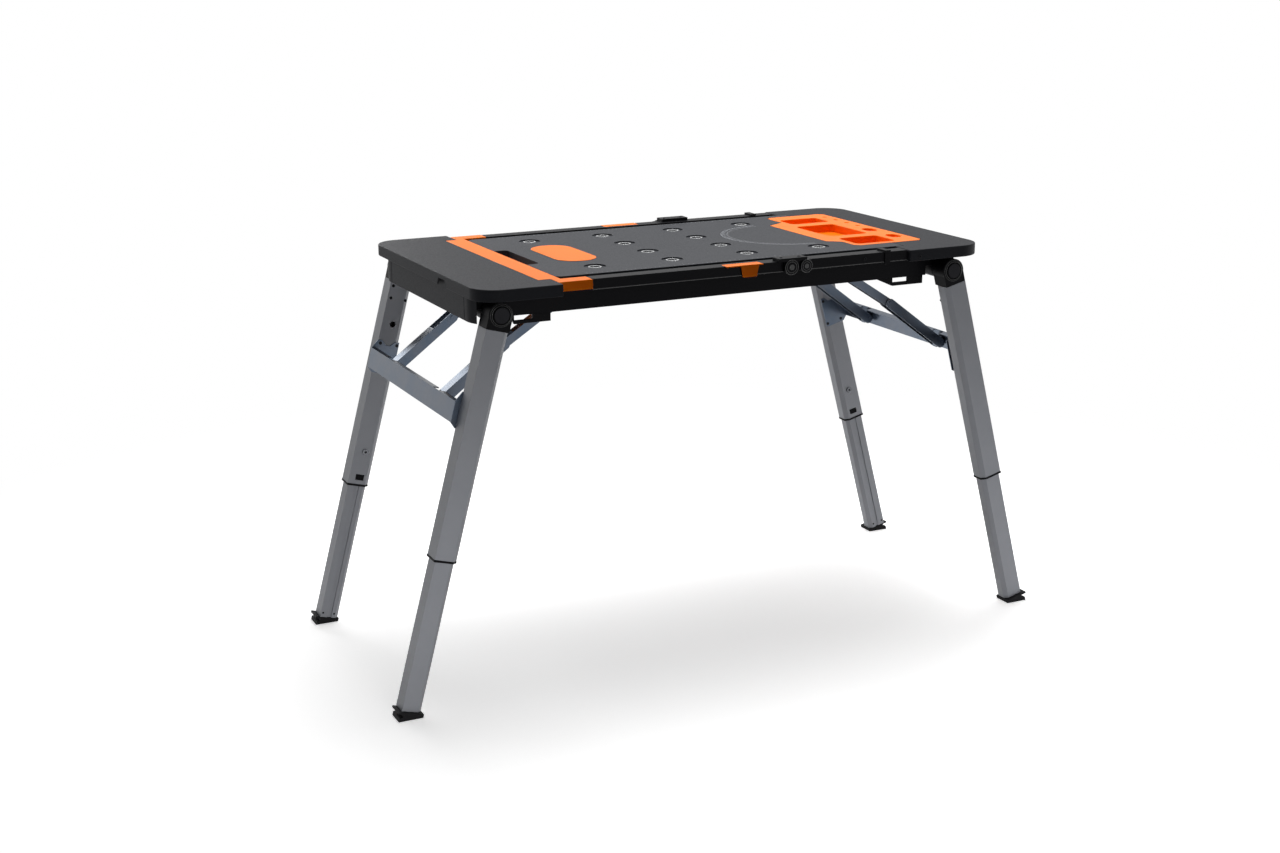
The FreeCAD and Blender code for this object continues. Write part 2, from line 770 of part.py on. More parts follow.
def make_rail_screws():
    """Make the screws and pins that show on the rails, links and right cap."""
    items = []
    for side_name, side in SIDES.items():
        for index, place in enumerate(("link_plate_left + plate_screw_setback",
                                       "link_plate_right - plate_screw_setback")):
            middle = "(link_plate_inner + link_face + link_disc_proud) / 2"
            items.append(disc("%s_plate_screw_%d" % (side_name, index), "Z",
                              (link_mirror(side, place), signed(side, middle)),
                              "bench_height + link_plate_rise", "small_screw_head",
                              "small_screw_radius"))
        faces = [(link_mirror(side, "link_disc_large_x"), "bench_height - link_disc_drop",
                  "link_face + link_disc_proud", "disc_pin_radius"),
                 (link_mirror(side, "link_disc_small_x"), "bench_height - link_disc_drop",
                  "link_face + link_disc_proud", "disc_pin_radius - small_screw_head / 2"),
                 ("rail_screw_x", "bench_height - rail_screw_drop", "rail_outer",
                  "small_screw_radius"),
                 ("cap_screw_x", "bench_height - cap_screw_drop", "right_cap_half_width",
                  "small_screw_radius")]
        for index, (across, up, face, radius) in enumerate(faces):
            low, high = span(side, face, face + " + small_screw_head")
            items.append(disc("%s_face_screw_%d" % (side_name, index), "Y", (across, up), low,
                              "small_screw_head", radius))
    group("rail_screws", items)


def make_latch(side_name, side):
    """Make an orange latch: a plate in the rail's top with a tapered tongue over its face."""
    body = new_body(side_name + "_latch")
    top = "bench_height"
    low, high = span(side, "latch_inner", "latch_outer")
    extrude(body, "XY", top + " - latch_plate", top,
            [rectangle("-latch_left", "latch_right", low, high)])
    low, high = span(side, "latch_outer - latch_tongue_thickness", "latch_outer")
    shape = [("latch_tongue_left", top),
             ("latch_tongue_right", top),
             ("latch_tongue_right - latch_tongue_taper", top + " - latch_tongue_drop"),
             ("latch_tongue_left + latch_tongue_taper", top + " - latch_tongue_drop")]
    extrude(body, "XZ", low, high, [shape])


# End caps, edge band, apron and posts

def rounded_prism(name, outline, corners, radius, low, high):
    """Make an upright prism with some of its corners rounded."""
    body = doc.addObject("PartDesign::Body", name)
    extrude(body, "XY", low, high, [outline])
    round_corners(body, "Z", corners, radius)
    return body


def cap_shell(name, outer, outline, corners, radius):
    """Hollow a cap from below, leaving a wall all round and a skin on top."""
    inner = rounded_prism(name + "_hollow", outline, corners, radius + " - cap_wall",
                          "cap_bottom - cut_overrun", "cap_ceiling")
    shell = doc.addObject("Part::Cut", name)
    shell.Base = outer
    shell.Tool = inner
    shell.Label = name
    NODES.append(shell)


def make_left_end_cap():
    """Make the left cap with its hand notch in the outer lip."""
    name = "left_end_cap"

    def outline(wall):
        """Give the cap's outline, set in by a formula."""
        left = "-left_cap_left + (%s)" % wall
        right = "-left_cap_right - (%s)" % wall
        middle = "-left_cap_middle - (%s)" % wall
        half = "left_cap_half_width - (%s)" % wall
        step = "left_cap_step + (%s)" % wall
        far = [(middle, step), (right, step), (right, half), (left, half)]
        return list(reversed(on_side(-1, far))) + far

    points = outline("0")
    corners = [points[0], points[7]]
    outer = rounded_prism(name + "_block", points, corners, "left_cap_corner", "cap_bottom",
                          "bench_height")
    notch = [("-notch_near", "cap_bottom - cut_overrun"),
             ("-notch_far", "cap_bottom - cut_overrun"),
             ("-notch_far", "cap_bottom"),
             ("-notch_far - notch_slope", "cap_bottom + notch_height"),
             ("-notch_near + notch_slope", "cap_bottom + notch_height"),
             ("-notch_near", "cap_bottom")]
    extrude(outer, "YZ", "-left_cap_left - cut_overrun", "-left_cap_left + cap_wall + cut_overrun",
            [notch], cut=True)
    points = outline("cap_wall")
    cap_shell(name, outer, points, [points[0], points[7]], "left_cap_corner")


def make_right_end_cap():
    """Make the right cap, which the tray's tongue is let into."""
    name = "right_end_cap"

    def outline(wall):
        """Give the cap's outline, set in by a formula."""
        left = "right_cap_left + (%s)" % wall
        right = "right_cap_right - (%s)" % wall
        middle = "right_cap_middle + (%s)" % wall
        half = "right_cap_half_width - (%s)" % wall
        step = "right_cap_step + (%s)" % wall
        far = [(right, half), (left, half), (left, step), (middle, step)]
        return far + list(reversed(on_side(-1, far)))

    points = outline("0")
    outer = rounded_prism(name + "_block", points, [points[0], points[7]], "right_cap_corner",
                          "cap_bottom", "bench_height")
    cut_tray_seat(outer, "cap_bottom - cut_overrun")
    points = outline("cap_wall")
    cap_shell(name, outer, points, [points[0], points[7]], "right_cap_corner")


def make_edge_band():
    """Make the orange band that wraps the board's left end in a U."""
    body = new_body("edge_band")
    half = [("-band_left", "band_shoulder_y"),
            ("-band_shoulder", "band_shoulder_y"),
            ("-band_shoulder", "band_face"),
            ("-band_arm_right", "band_face"),
            ("-band_arm_right", "rail_inner"),
            ("-band_inner_edge", "rail_inner")]
    outline = on_side(-1, half) + list(reversed(on_side(1, half)))
    extrude(body, "XY", "bench_height - band_depth", "bench_height", [outline])


def make_left_apron():
    """Make the plate that closes the left end, from inside the cap down past the beams."""
    body = new_body("left_apron")
    extrude(body, "XY", "apron_bottom", "cap_ceiling - running_gap",
            [rectangle("-apron_outer", "-apron_inner", "-apron_half_width", "apron_half_width")])


def make_corner_posts():
    """Make the two posts that bend round from the apron's ends towards the legs."""
    posts = []
    bend = "post_start + post_bend_start"
    for side_name, side in SIDES.items():
        body = doc.addObject("PartDesign::Body", side_name + "_post")
        shape = [("-apron_outer", "post_start"),
                 ("-apron_inner", "post_start"),
                 ("-apron_inner", "post_end"),
                 ("-apron_outer", bend)]
        extrude(body, "XY", "apron_bottom", "beam_top", [on_side(side, shape)])
        round_corners(body, "Z", [("-apron_outer", signed(side, bend))], "post_bend")
        posts.append(body)
    group("left_corner_posts", posts)


# Lower beams, cross members, brackets and pivot bolts

def make_lower_beam(side_name, side):
    """Make a beam that carries the top and holds a leg pivot in a round boss at each end."""
    body = new_body(side_name + "_lower_beam")
    low, high = span(side, "beam_inner", "beam_outer")
    outline = [("-beam_full_reach", "beam_bottom"),
               ("beam_full_reach", "beam_bottom"),
               ("beam_full_reach", "neck_bottom"),
               ("apron_inner", "neck_bottom"),
               ("apron_inner", "beam_top"),
               ("-apron_inner", "beam_top"),
               ("-apron_inner", "neck_bottom"),
               ("-beam_full_reach", "neck_bottom")]
    extrude(body, "XZ", low, high, [outline])
    extrude(body, "XZ", low, high, circles=[("-pivot_reach", "pivot_height", "boss_radius")])
    extrude(body, "XZ", low, high, circles=[("pivot_reach", "pivot_height", "boss_radius")])
    bores = [(place, "pivot_height", "bolt_radius + pivot_clearance")
             for place in ("-pivot_reach", "pivot_reach")]
    extrude(body, "XZ", low + " - cut_overrun", high + " + cut_overrun", circles=bores, cut=True)
    low, high = span(side, "beam_inner + beam_slot_inset", "beam_outer - beam_slot_inset")
    extrude(body, "YZ", "-beam_full_reach - cut_overrun", "beam_full_reach + cut_overrun",
            [rectangle(low, high, "beam_bottom + beam_slot_rise",
                       "beam_bottom + beam_slot_rise + beam_slot_height")], cut=True)
    extrude(body, "YZ", "-beam_full_reach + beam_end_wall", "beam_full_reach - beam_end_wall",
            [rectangle(low, high, "beam_bottom + beam_slot_rise",
                       "beam_bottom + beam_slot_rise + beam_hollow_height")], cut=True)


def make_cross_member(end_name, end):
    """Make a bar between the beams with two lugs and pins for the upper brace links."""
    body = new_body(end_name + "_cross_member")
    left, right = span(end, "cross_inner", "cross_outer")
    bottom = "beam_top - cross_depth"
    extrude(body, "XZ", "-beam_inner", "beam_inner", [rectangle(left, right, bottom, "beam_top")])
    left, right = span(end, "brace_upper_x - brace_lug_reach", "brace_upper_x + brace_lug_reach")
    for side in SIDES.values():
        low = signed(side, "brace_lane") + " - brace_lug_half"
        high = signed(side, "brace_lane") + " + brace_lug_half"
        extrude(body, "XZ", low, high,
                [rectangle(left, right, "brace_upper_z - brace_lug_reach", bottom)])
        low = signed(side, "brace_lane") + " - upper_link_half_width"
        high = signed(side, "brace_lane") + " + upper_link_half_width"
        extrude(body, "XZ", low, high,
                circles=[(signed(end, "brace_upper_x"), "brace_upper_z", "brace_pin_radius")])


def make_brackets():
    """Make the four brackets under the beams, each a sloped end, a window and a block."""
    items = []
    bottom = "beam_bottom - bracket_depth"
    for end_name, lead in (("left", "bracket_end"), ("right", "bracket_wedge")):
        window_left = end_name + "_window_left"
        window_right = window_left + " + bracket_window"
        block_right = window_right + " + bracket_block"
        shape = [("%s - %s" % (window_left, lead), "beam_bottom"),
                 (window_left, bottom),
                 (block_right, bottom),
                 (block_right, "beam_bottom"),
                 (window_right, "beam_bottom"),
                 (window_right, "beam_bottom - bracket_window_depth"),
                 (window_left, "beam_bottom - bracket_window_depth"),
                 (window_left, "beam_bottom")]
        for side_name, side in SIDES.items():
            body = doc.addObject("PartDesign::Body", "%s_%s_bracket" % (side_name, end_name))
            low, high = span(side, "bracket_inner", "bracket_outer")
            extrude(body, "XZ", low, high, [shape])
            items.append(body)
    group("under_beam_brackets", items)


def make_pivot_bolts():
    """Make the four bolts that the legs turn on, each with a spacer beside the beam."""
    bolts = []
    for end_name, end in ENDS.items():
        for side_name, side in SIDES.items():
            body = doc.addObject("PartDesign::Body", "%s_%s_bolt" % (side_name, end_name))
            place = (signed(end, "pivot_reach"), "pivot_height")
            stretches = [("beam_inner", "leg_outer + running_gap", "bolt_radius"),
                         ("beam_outer", "leg_inner - running_gap", "washer_radius"),
                         ("leg_outer + running_gap", "leg_outer + bolt_head", "bolt_head_radius")]
            for inner, outer, radius in stretches:
                low, high = span(side, inner, outer)
                extrude(body, "XZ", low, high, circles=[place + (radius,)])
            bolts.append(body)
    group("leg_pivot_bolts", bolts)


# Legs. Each leg piece is drawn about its pivot: first coordinate outwards from the leg's middle line,
# Z down the leg as a negative number. Its Placement then tilts it outwards.

def place_on_leg(item, end):
    """Put a piece drawn about the leg pivot where the leg stands."""
    turn = FreeCAD.Rotation(FreeCAD.Vector(0, -end, 0), SIZES["leg_tilt"])
    item.Placement = FreeCAD.Placement(FreeCAD.Vector(), turn)
    bind(item, {"Placement.Base.x": signed(end, "pivot_reach"), "Placement.Base.z": "pivot_height",
                "Placement.Rotation.Angle": "leg_tilt"})


def leg_section(end, side, half, inner, outer, chamfer):
    """Give a leg section with its two corners towards the bench's middle cut off."""
    points = [("-(%s)" % half, "(%s) + (%s)" % (inner, chamfer)),
              ("-(%s) + (%s)" % (half, chamfer), inner),
              (half, inner),
              (half, outer),
              ("-(%s) + (%s)" % (half, chamfer), outer),
              ("-(%s)" % half, "(%s) - (%s)" % (outer, chamfer))]
    return on_side(side, mirrored(end, points))


def upper_section(end, side, inset):
    """Give the upper tube's section, set in by a formula."""
    return leg_section(end, side, "upper_half - (%s)" % inset, "leg_inner + (%s)" % inset,
                       "leg_outer - (%s)" % inset,
                       "upper_chamfer - (2 - sqrt(2)) * (%s)" % inset)


def lower_section(end, side, grow):
    """Give the lower tube's outer section, grown by a formula."""
    return leg_section(end, side, "lower_half + (%s)" % grow, "lower_face - (%s)" % grow,
                       "leg_middle + lower_half_depth + (%s)" % grow,
                       "lower_chamfer + (2 - sqrt(2)) * (%s)" % grow)


def make_upper_tube(name, end, side):
    """Make an upper leg tube with its two round holes and its slot."""
    body = new_body(name)
    extrude(body, "XY", "-upper_end", "-upper_start",
            [upper_section(end, side, "0"), upper_section(end, side, "upper_wall")])
    low, high = span(side, "leg_inner - cut_overrun", "leg_inner + upper_wall + running_gap")
    holes = [("0", "-tube_hole_at", "tube_hole_radius"),
             ("0", "-lock_at", "plunger_stem + running_gap")]
    extrude(body, "XZ", low, high, circles=holes, cut=True)
    slot = rectangle("-tube_slot_width / 2", "tube_slot_width / 2",
                     "-tube_slot_at - tube_slot_height / 2", "-tube_slot_at + tube_slot_height / 2")
    extrude(body, "XZ", low, high, [slot], cut=True)
    place_on_leg(body, end)


def make_leg_head(name, end, side):
    """Make the cast head that turns on the pivot bolt and plugs the top of the upper tube."""
    body = new_body(name)
    low, high = span(side, "leg_inner", "leg_outer")
    neck = rectangle("-upper_half", "upper_half", "-upper_start", "0")
    extrude(body, "XZ", low, high, [neck])
    extrude(body, "XZ", low, high, circles=[("0", "0", "head_radius")])
    extrude(body, "XY", "-upper_start - head_plug", "-upper_start",
            [upper_section(end, side, "upper_wall + running_gap")])
    low, high = span(side, "leg_outer", "leg_outer + head_ring_height")
    extrude(body, "XZ", low, high, circles=[("0", "0", "head_ring_radius"),
                                            ("0", "0",
                                             "head_ring_radius - head_ring_width")])
    low, high = span(side, "leg_inner - cut_overrun", "leg_outer + cut_overrun")
    extrude(body, "XZ", low, high,
            circles=[("0", "0", "bolt_radius + pivot_clearance")], cut=True)
    place_on_leg(body, end)


def make_end_collars(end_name, end):
    """Make the plastic collars that guide the lower tubes at the ends of the upper ones."""
    items = []
    for side_name, side in SIDES.items():
        body = doc.addObject("PartDesign::Body", "%s_%s_collar" % (side_name, end_name))
        guide = lower_section(end, side, "lower_slide_gap")
        lip = leg_section(end, side, "upper_half + collar_overhang", "leg_inner - collar_overhang",
                          "leg_outer + collar_overhang", "upper_chamfer + collar_overhang / 2")
        extrude(body, "XY", "-upper_end - collar_lip", "-upper_end", [lip, guide])
        sleeve = lower_section(end, side, "lower_slide_gap")
        extrude(body, "XY", "-upper_end", "-upper_end + collar_sleeve",
                [lower_section(end, side, "lower_slide_gap + running_gap"), sleeve])
        place_on_leg(body, end)
        items.append(body)
    group(end_name + "_end_collars", items)


def make_lower_tube(name, end, side):
    """Make a lower leg tube with the long groove that its lock plunger rides in."""
    body = new_body(name)
    hollow = leg_section(end, side, "lower_half - lower_wall",
                         "lower_face + groove_depth + lower_wall",
                         "leg_middle + lower_half_depth - lower_wall",
                         "lower_chamfer - (2 - sqrt(2)) * lower_wall")
    extrude(body, "XY", "-lower_end", "-lower_start", [lower_section(end, side, "0"),
                                                       hollow])
    low, high = span(side, "lower_face - cut_overrun", "lower_face + groove_depth")
    extrude(body, "XY", "-lower_end - cut_overrun", "-lower_start + cut_overrun",
            [rectangle("-groove_width / 2", "groove_width / 2", low, high)], cut=True)
    place_on_leg(body, end)


def make_lock_plunger(name, end, side):
    """Make the sprung plunger that locks the lower tube: a button head on a stem."""
    body = new_body(name)
    place = ("0", "-lock_at")
    low, high = span(side, "leg_inner - plunger_head", "leg_inner")
    extrude(body, "XZ", low, high, circles=[place + ("plunger_radius",)])
    low, high = span(side, "leg_inner", "lower_face + groove_depth - running_gap")
    extrude(body, "XZ", low, high, circles=[place + ("plunger_stem",)])
    place_on_leg(body, end)


def make_foot(name, end, side):
    """Make a rubber foot: a flange under the tube, a neck with an open side and a level sole."""
    body = new_body(name)

    def floor_at(across, above):
        """Give how far down the leg a level plane lies, at a distance across the leg."""
        return "-((pivot_height - (%s)) / cos(leg_tilt) + (%s) * tan(leg_tilt))" % (above, across)

    outline = [("-foot_flange_inner", "-lower_end"),
               ("-foot_flange_inner", floor_at("-foot_flange_inner", "0")),
               ("foot_sole", floor_at("foot_sole", "0")),
               ("foot_sole", floor_at("foot_sole", "foot_sole_thickness")),
               ("foot_neck", floor_at("foot_neck", "foot_sole_thickness")),
               ("foot_neck", "-lower_end - foot_flange"),
               ("foot_flange_outer", "-lower_end - foot_flange"),
               ("foot_flange_outer", "-lower_end")]
    low, high = span(side, "foot_inner", "foot_outer")
    extrude(body, "XZ", low, high, [mirrored(end, outline)])
    place_on_leg(body, end)


def make_crossbar(end_name, end):
    """Make the angle bar between two legs, with an eared plate at each end and two brace lugs."""
    body = new_body(end_name + "_crossbar")
    web_in = "crossbar_web_out - crossbar_sheet"
    flange_in = "crossbar_web_out - crossbar_flange"
    plate_face = "leg_inner - crossbar_sheet"
    section = [("crossbar_web_out", "-crossbar_bottom"),
               ("crossbar_web_out", "-crossbar_top"),
               (flange_in, "-crossbar_top"),
               (flange_in, "-crossbar_top - crossbar_sheet"),
               (web_in, "-crossbar_top - crossbar_sheet"),
               (web_in, "-crossbar_bottom")]
    extrude(body, "XZ", "-(%s)" % plate_face, plate_face, [mirrored(end, section)])
    plate = [("-end_plate_inner", "-end_plate_top"),
             ("-end_plate_inner", "-end_plate_bottom + end_plate_cut"),
             ("-end_plate_inner + end_plate_cut", "-end_plate_bottom"),
             ("end_plate_outer", "-end_plate_bottom"),
             ("crossbar_web_out", "-crossbar_bottom"),
             ("crossbar_web_out", "-crossbar_top"),
             ("end_plate_outer", "-end_plate_top"),
             ("end_plate_outer - end_plate_ear", "-end_plate_top"),
             ("end_plate_outer - 2 * end_plate_ear", "-crossbar_top + end_plate_ear"),
             ("-end_plate_inner + 2 * end_plate_ear", "-crossbar_top + end_plate_ear"),
             ("-end_plate_inner + end_plate_ear", "-end_plate_top")]
    for side in SIDES.values():
        low, high = span(side, plate_face, "leg_inner")
        extrude(body, "XZ", low, high, [mirrored(end, plate)])
    notch_low = "-crossbar_top - crossbar_sheet - running_gap"
    for side in SIDES.values():
        lane = signed(side, "brace_lane")
        left, right = span(end, flange_in + " - cut_overrun", web_in)
        extrude(body, "XZ", lane + " - crossbar_notch_half", lane + " + crossbar_notch_half",
                [rectangle(left, right, notch_low, "-crossbar_top + cut_overrun")], cut=True)
        lug = [("brace_lower_out - brace_lug_reach", "-brace_lower_at - brace_lug_reach"),
               (web_in, "-brace_lower_at - brace_lug_reach"),
               (web_in, "-brace_lower_at + brace_lug_reach"),
               ("brace_lower_out - brace_lug_reach", "-brace_lower_at + brace_lug_reach")]
        extrude(body, "XZ", lane + " - brace_lug_half", lane + " + brace_lug_half",
                [mirrored(end, lug)])
        extrude(body, "XZ", lane + " - lower_link_half_width", lane + " + lower_link_half_width",
                circles=[(signed(end, "brace_lower_out"), "-brace_lower_at", "brace_pin_radius")])
    place_on_leg(body, end)


def make_leg_rivets(end_name, end):
    """Make the rivet heads on a crossbar's end plates and the screws in the leg heads."""
    plate_places = [(across, down)
                    for across in ("plate_rivet_across", "-plate_rivet_across")
                    for down in ("end_plate_top + plate_rivet_setback",
                                 "end_plate_bottom - plate_rivet_setback")]
    head_places = [("upper_half - 2 * rivet_radius", "upper_start + 3 * rivet_radius"),
                   ("upper_half - 2 * rivet_radius", "upper_start + 10 * rivet_radius"),
                   ("-upper_half + 2 * rivet_radius", "upper_start + 10 * rivet_radius")]
    items = []
    for side_name, side in SIDES.items():
        for kind, places, face in (("plate_rivet", plate_places, "leg_inner - crossbar_sheet"),
                                   ("head_screw", head_places, "leg_inner")):
            low, high = span(side, face + " - rivet_head", face)
            for index, (across, down) in enumerate(places):
                body = doc.addObject("PartDesign::Body",
                                     "%s_%s_%s_%d" % (side_name, end_name, kind, index))
                extrude(body, "XZ", low, high,
                        circles=[(signed(end, across), "-(%s)" % down, "rivet_radius")])
                place_on_leg(body, end)
                items.append(body)
    group(end_name + "_leg_rivets", items)


# Braces. The knee of each brace is worked out from its two pivots with the brace nearly straight.

def brace_points():
    """Give the lower pivot, knee and upper pivot of the right-hand braces, as X and Z."""
    tilt = math.radians(SIZES["leg_tilt"])
    down = number("brace_lower_at")
    out = number("brace_lower_out")
    lower = (number("pivot_reach") + down * math.sin(tilt) + out * math.cos(tilt),
             number("pivot_height") - down * math.cos(tilt) + out * math.sin(tilt))
    upper = (number("brace_upper_x"), number("brace_upper_z"))
    run = (upper[0] - lower[0], upper[1] - lower[1])
    length = math.hypot(*run)
    outward = (run[1] / length, -run[0] / length)
    offset = number("knee_offset")
    knee = (lower[0] + KNEE_SHARE * run[0] + offset * outward[0],
            lower[1] + KNEE_SHARE * run[1] + offset * outward[1])
    return lower, knee, upper


def make_link(name, end, side, kind, pivot, knee, web_sign):
    """Make one half of a brace: a channel with round ends, drawn from its pivot to the knee.

    The web joins the outer edges of the two walls and stops short of both ends, so that the halves
    can fold.
    """
    body = new_body(name)
    length = str(math.hypot(knee[0] - pivot[0], knee[1] - pivot[1]))
    width = kind + "_link_half_width"
    height = kind + "_link_half_height"
    lane = signed(side, "brace_lane")
    left, right = span(end, "link_web_setback", length + " - %s_knee_setback" % kind)
    low, high = span(web_sign, height + " - brace_sheet", height)
    extrude(body, "XZ", lane + " - " + width, lane + " + " + width,
            [rectangle(left, right, low, high)])
    for wall in SIDES.values():
        inner, outer = span(wall, width + " - brace_sheet", width)
        low = lane + " + " + inner
        high = lane + " + " + outer
        left, right = span(end, "0", length)
        extrude(body, "XZ", low, high, [rectangle(left, right, "-" + height, height)])
        extrude(body, "XZ", low, high, circles=[("0", "0", height)])
        extrude(body, "XZ", low, high, circles=[(signed(end, length), "0", height)])
        if kind == "lower":
            inner, outer = span(wall, width, width + " + knee_rivet_head")
            extrude(body, "XZ", lane + " + " + inner, lane + " + " + outer,
                    circles=[(signed(end, length), "0", "knee_rivet_radius")])
    extrude(body, "XZ", lane + " - " + width + " - cut_overrun", lane + " + " + width +
            " + cut_overrun", circles=[("0", "0", "brace_pin_radius + pivot_clearance")], cut=True)
    angle = math.degrees(math.atan2(knee[1] - pivot[1], knee[0] - pivot[0]))
    place = FreeCAD.Vector(end * pivot[0], 0, pivot[1])
    body.Placement = FreeCAD.Placement(place, FreeCAD.Rotation(FreeCAD.Vector(0, -end, 0), angle))


def make_braces():
    """Make the four braces, each a lower and an upper link."""
    lower, knee, upper = brace_points()
    for end_name, end in ENDS.items():
        for side_name, side in SIDES.items():
            name = "%s_%s_%%s_brace_link" % (side_name, end_name)
            make_link(name % "lower", end, side, "lower", lower, knee, -1)
            make_link(name % "upper", end, side, "upper", upper, knee, 1)


def make_top():
    """Make everything above the legs."""
    make_deck_board()
    make_bushings()
    make_oval_pad()
    make_tool_tray()
    make_rails()
    for side_name, side in SIDES.items():
        make_hinge_link(side_name, side)
        make_latch(side_name, side)
        make_lower_beam(side_name, side)
    make_rail_clips()
    make_rail_screws()
    make_left_end_cap()
    make_right_end_cap()
    make_edge_band()
    make_left_apron()
    make_corner_posts()
    for end_name, end in ENDS.items():
        make_cross_member(end_name, end)
    make_brackets()
    make_pivot_bolts()


def make_legs():
    """Make the two leg pairs and their braces."""
    for end_name, end in ENDS.items():
        for side_name, side in SIDES.items():
            name = "%s_%s_" % (side_name, end_name)
            make_upper_tube(name + "upper_tube", end, side)
            make_leg_head(name + "leg_head", end, side)
            make_lower_tube(name + "lower_tube", end, side)
            make_lock_plunger(name + "lock_plunger", end, side)
            make_foot(name + "foot", end, side)
        make_end_collars(end_name, end)
        make_crossbar(end_name, end)
        make_leg_rivets(end_name, end)
    make_braces()


def check_and_write():
    """Stop if any object failed, then write each sub-part to its own file."""
    doc.recompute()
    for item in doc.Objects:
        if "Invalid" in item.State or "Error" in item.State:
            raise RuntimeError("%s failed: %s" % (item.Label, item.State))
    for item in NODES:
        if item.Shape.isNull() or not item.Shape.isValid():
            raise RuntimeError("%s has no valid shape" % item.Label)
    os.makedirs("parts", exist_ok=True)
    for item in NODES:
        item.Shape.exportStep(os.path.join("parts", item.Label + ".step"))
    print("%d sub-parts written" % len(NODES))


make_top()
make_legs()
check_and_write()
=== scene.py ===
"""Looks of a folding workbench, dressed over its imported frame."""

import json
import logging
import math
from dataclasses import dataclass, field
from enum import Enum
from typing import Any

import bmesh
import bpy
from mathutils import Matrix, Vector

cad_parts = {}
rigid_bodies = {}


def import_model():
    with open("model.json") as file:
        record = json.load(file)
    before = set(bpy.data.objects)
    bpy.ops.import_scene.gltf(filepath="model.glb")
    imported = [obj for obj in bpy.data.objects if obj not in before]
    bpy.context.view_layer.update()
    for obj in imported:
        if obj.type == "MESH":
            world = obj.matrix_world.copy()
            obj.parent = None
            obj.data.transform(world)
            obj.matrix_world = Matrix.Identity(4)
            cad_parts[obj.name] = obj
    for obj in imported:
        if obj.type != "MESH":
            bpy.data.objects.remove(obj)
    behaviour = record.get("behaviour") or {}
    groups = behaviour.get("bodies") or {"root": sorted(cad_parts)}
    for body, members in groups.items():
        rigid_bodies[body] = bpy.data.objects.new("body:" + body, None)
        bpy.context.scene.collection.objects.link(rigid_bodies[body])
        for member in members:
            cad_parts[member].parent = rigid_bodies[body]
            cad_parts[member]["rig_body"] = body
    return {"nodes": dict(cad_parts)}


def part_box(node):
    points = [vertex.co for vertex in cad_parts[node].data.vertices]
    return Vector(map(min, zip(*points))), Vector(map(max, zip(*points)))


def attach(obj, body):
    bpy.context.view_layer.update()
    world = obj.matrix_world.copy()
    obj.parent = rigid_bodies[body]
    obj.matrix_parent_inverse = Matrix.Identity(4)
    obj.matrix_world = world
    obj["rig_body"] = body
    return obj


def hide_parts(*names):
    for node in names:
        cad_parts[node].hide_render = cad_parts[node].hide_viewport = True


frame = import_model()
log = logging.getLogger("workbench")

MM = 0.001
TOP = 0.790
LEG_TILT = math.radians(15)
LEG_PIVOT = Vector((0.487, 0.0, 0.740))
ENDS = {"left": -1, "right": 1}
SIDES = {"near": -1, "far": 1}
SHARP_ANGLE = math.radians(32)
FLAT_ANGLE = math.radians(0.6)
WELD_MM = 0.01

# The slow drift of colour in every finish, and how far draw lines are pulled out.
PATCHES = {"Scale": 22.0, "Detail": 4.0, "Roughness": 0.6}
BUMP_STRENGTH = 0.6
DRAW_STRETCH = 0.02

# Half section of a screw or rivet head, as shares of its radius and height, and the shares of
# the driver recess: its arm's half width and the height of its floor.
HEAD_PROFILE = ((1.0, -0.15), (1.0, 0.45), (0.93, 0.75), (0.78, 0.94), (0.6, 1.0))
HEAD_SIDES = 24
RECESS_ARM = 0.32
RECESS_FLOOR = 0.35
BEAD_SIDES = 8

# Radius, height and half recess of each kind of head, in millimetres.
HEADS_MM = {
    "plate_screw": (3.2, 1.6, 1.9),
    "face_screw": (3.2, 1.5, 1.9),
    "hinge_pin": (5.6, 1.6, 0.0),
    "foot_screw": (2.4, 0.8, 1.4),
    # A flat dark disc, not a head: painted shade in the dimple of the lock button.
    "button_dimple": (2.6, 0.3, 0.0),
    "plate_rivet": (3.4, 1.3, 0.0),
    "head_screw": (3.2, 1.2, 1.9),
}


# Small tools shared by the pieces


def linear(hex_colour: str) -> tuple[float, float, float, float]:
    """Turn an sRGB hex colour to linear values.

    Args:
        hex_colour: Six hex digits after a hash mark.

    Returns:
        Red, green, blue and an alpha of one.
    """
    parts = [int(hex_colour[i:i + 2], 16) / 255 for i in (1, 3, 5)]
    bent = [c / 12.92 if c <= 0.04045 else ((c + 0.055) / 1.055) ** 2.4 for c in parts]
    return bent[0], bent[1], bent[2], 1.0


def add_node(
    tree: bpy.types.NodeTree,
    kind: str,
    values: dict[Any, Any] | None = None,
    links: dict[Any, bpy.types.NodeSocket] | None = None,
    **settings: Any,
) -> bpy.types.Node:
    """Add a node to a tree with its settings, input values and links.

    Args:
        tree: The material or geometry tree.
        kind: The node's type name.
        values: Values for its inputs, by socket name or number.
        links: Sockets that feed its inputs, by socket name or number.
        settings: The node's own properties.

    Returns:
        The new node.
    """
    node = tree.nodes.new(kind)
    for name, value in settings.items():
        setattr(node, name, value)
    for socket, value in (values or {}).items():
        node.inputs[socket].default_value = value
    for socket, source in (links or {}).items():
        tree.links.new(source, node.inputs[socket])
    return node


def mesh_piece(name: str, mesh: bpy.types.Mesh) -> bpy.types.Object:
    """Put a mesh into the scene as an object at the origin."""
    piece = bpy.data.objects.new(name, mesh)
    bpy.context.scene.collection.objects.link(piece)
    return piece


def made_plain(piece: bpy.types.Object) -> bpy.types.Object:
    """Turn a piece with modifiers into a plain mesh and drop the modifiers."""
    graph = bpy.context.evaluated_depsgraph_get()
    mesh = bpy.data.meshes.new_from_object(piece.evaluated_get(graph))
    piece.modifiers.clear()
    piece.data = mesh
    return piece


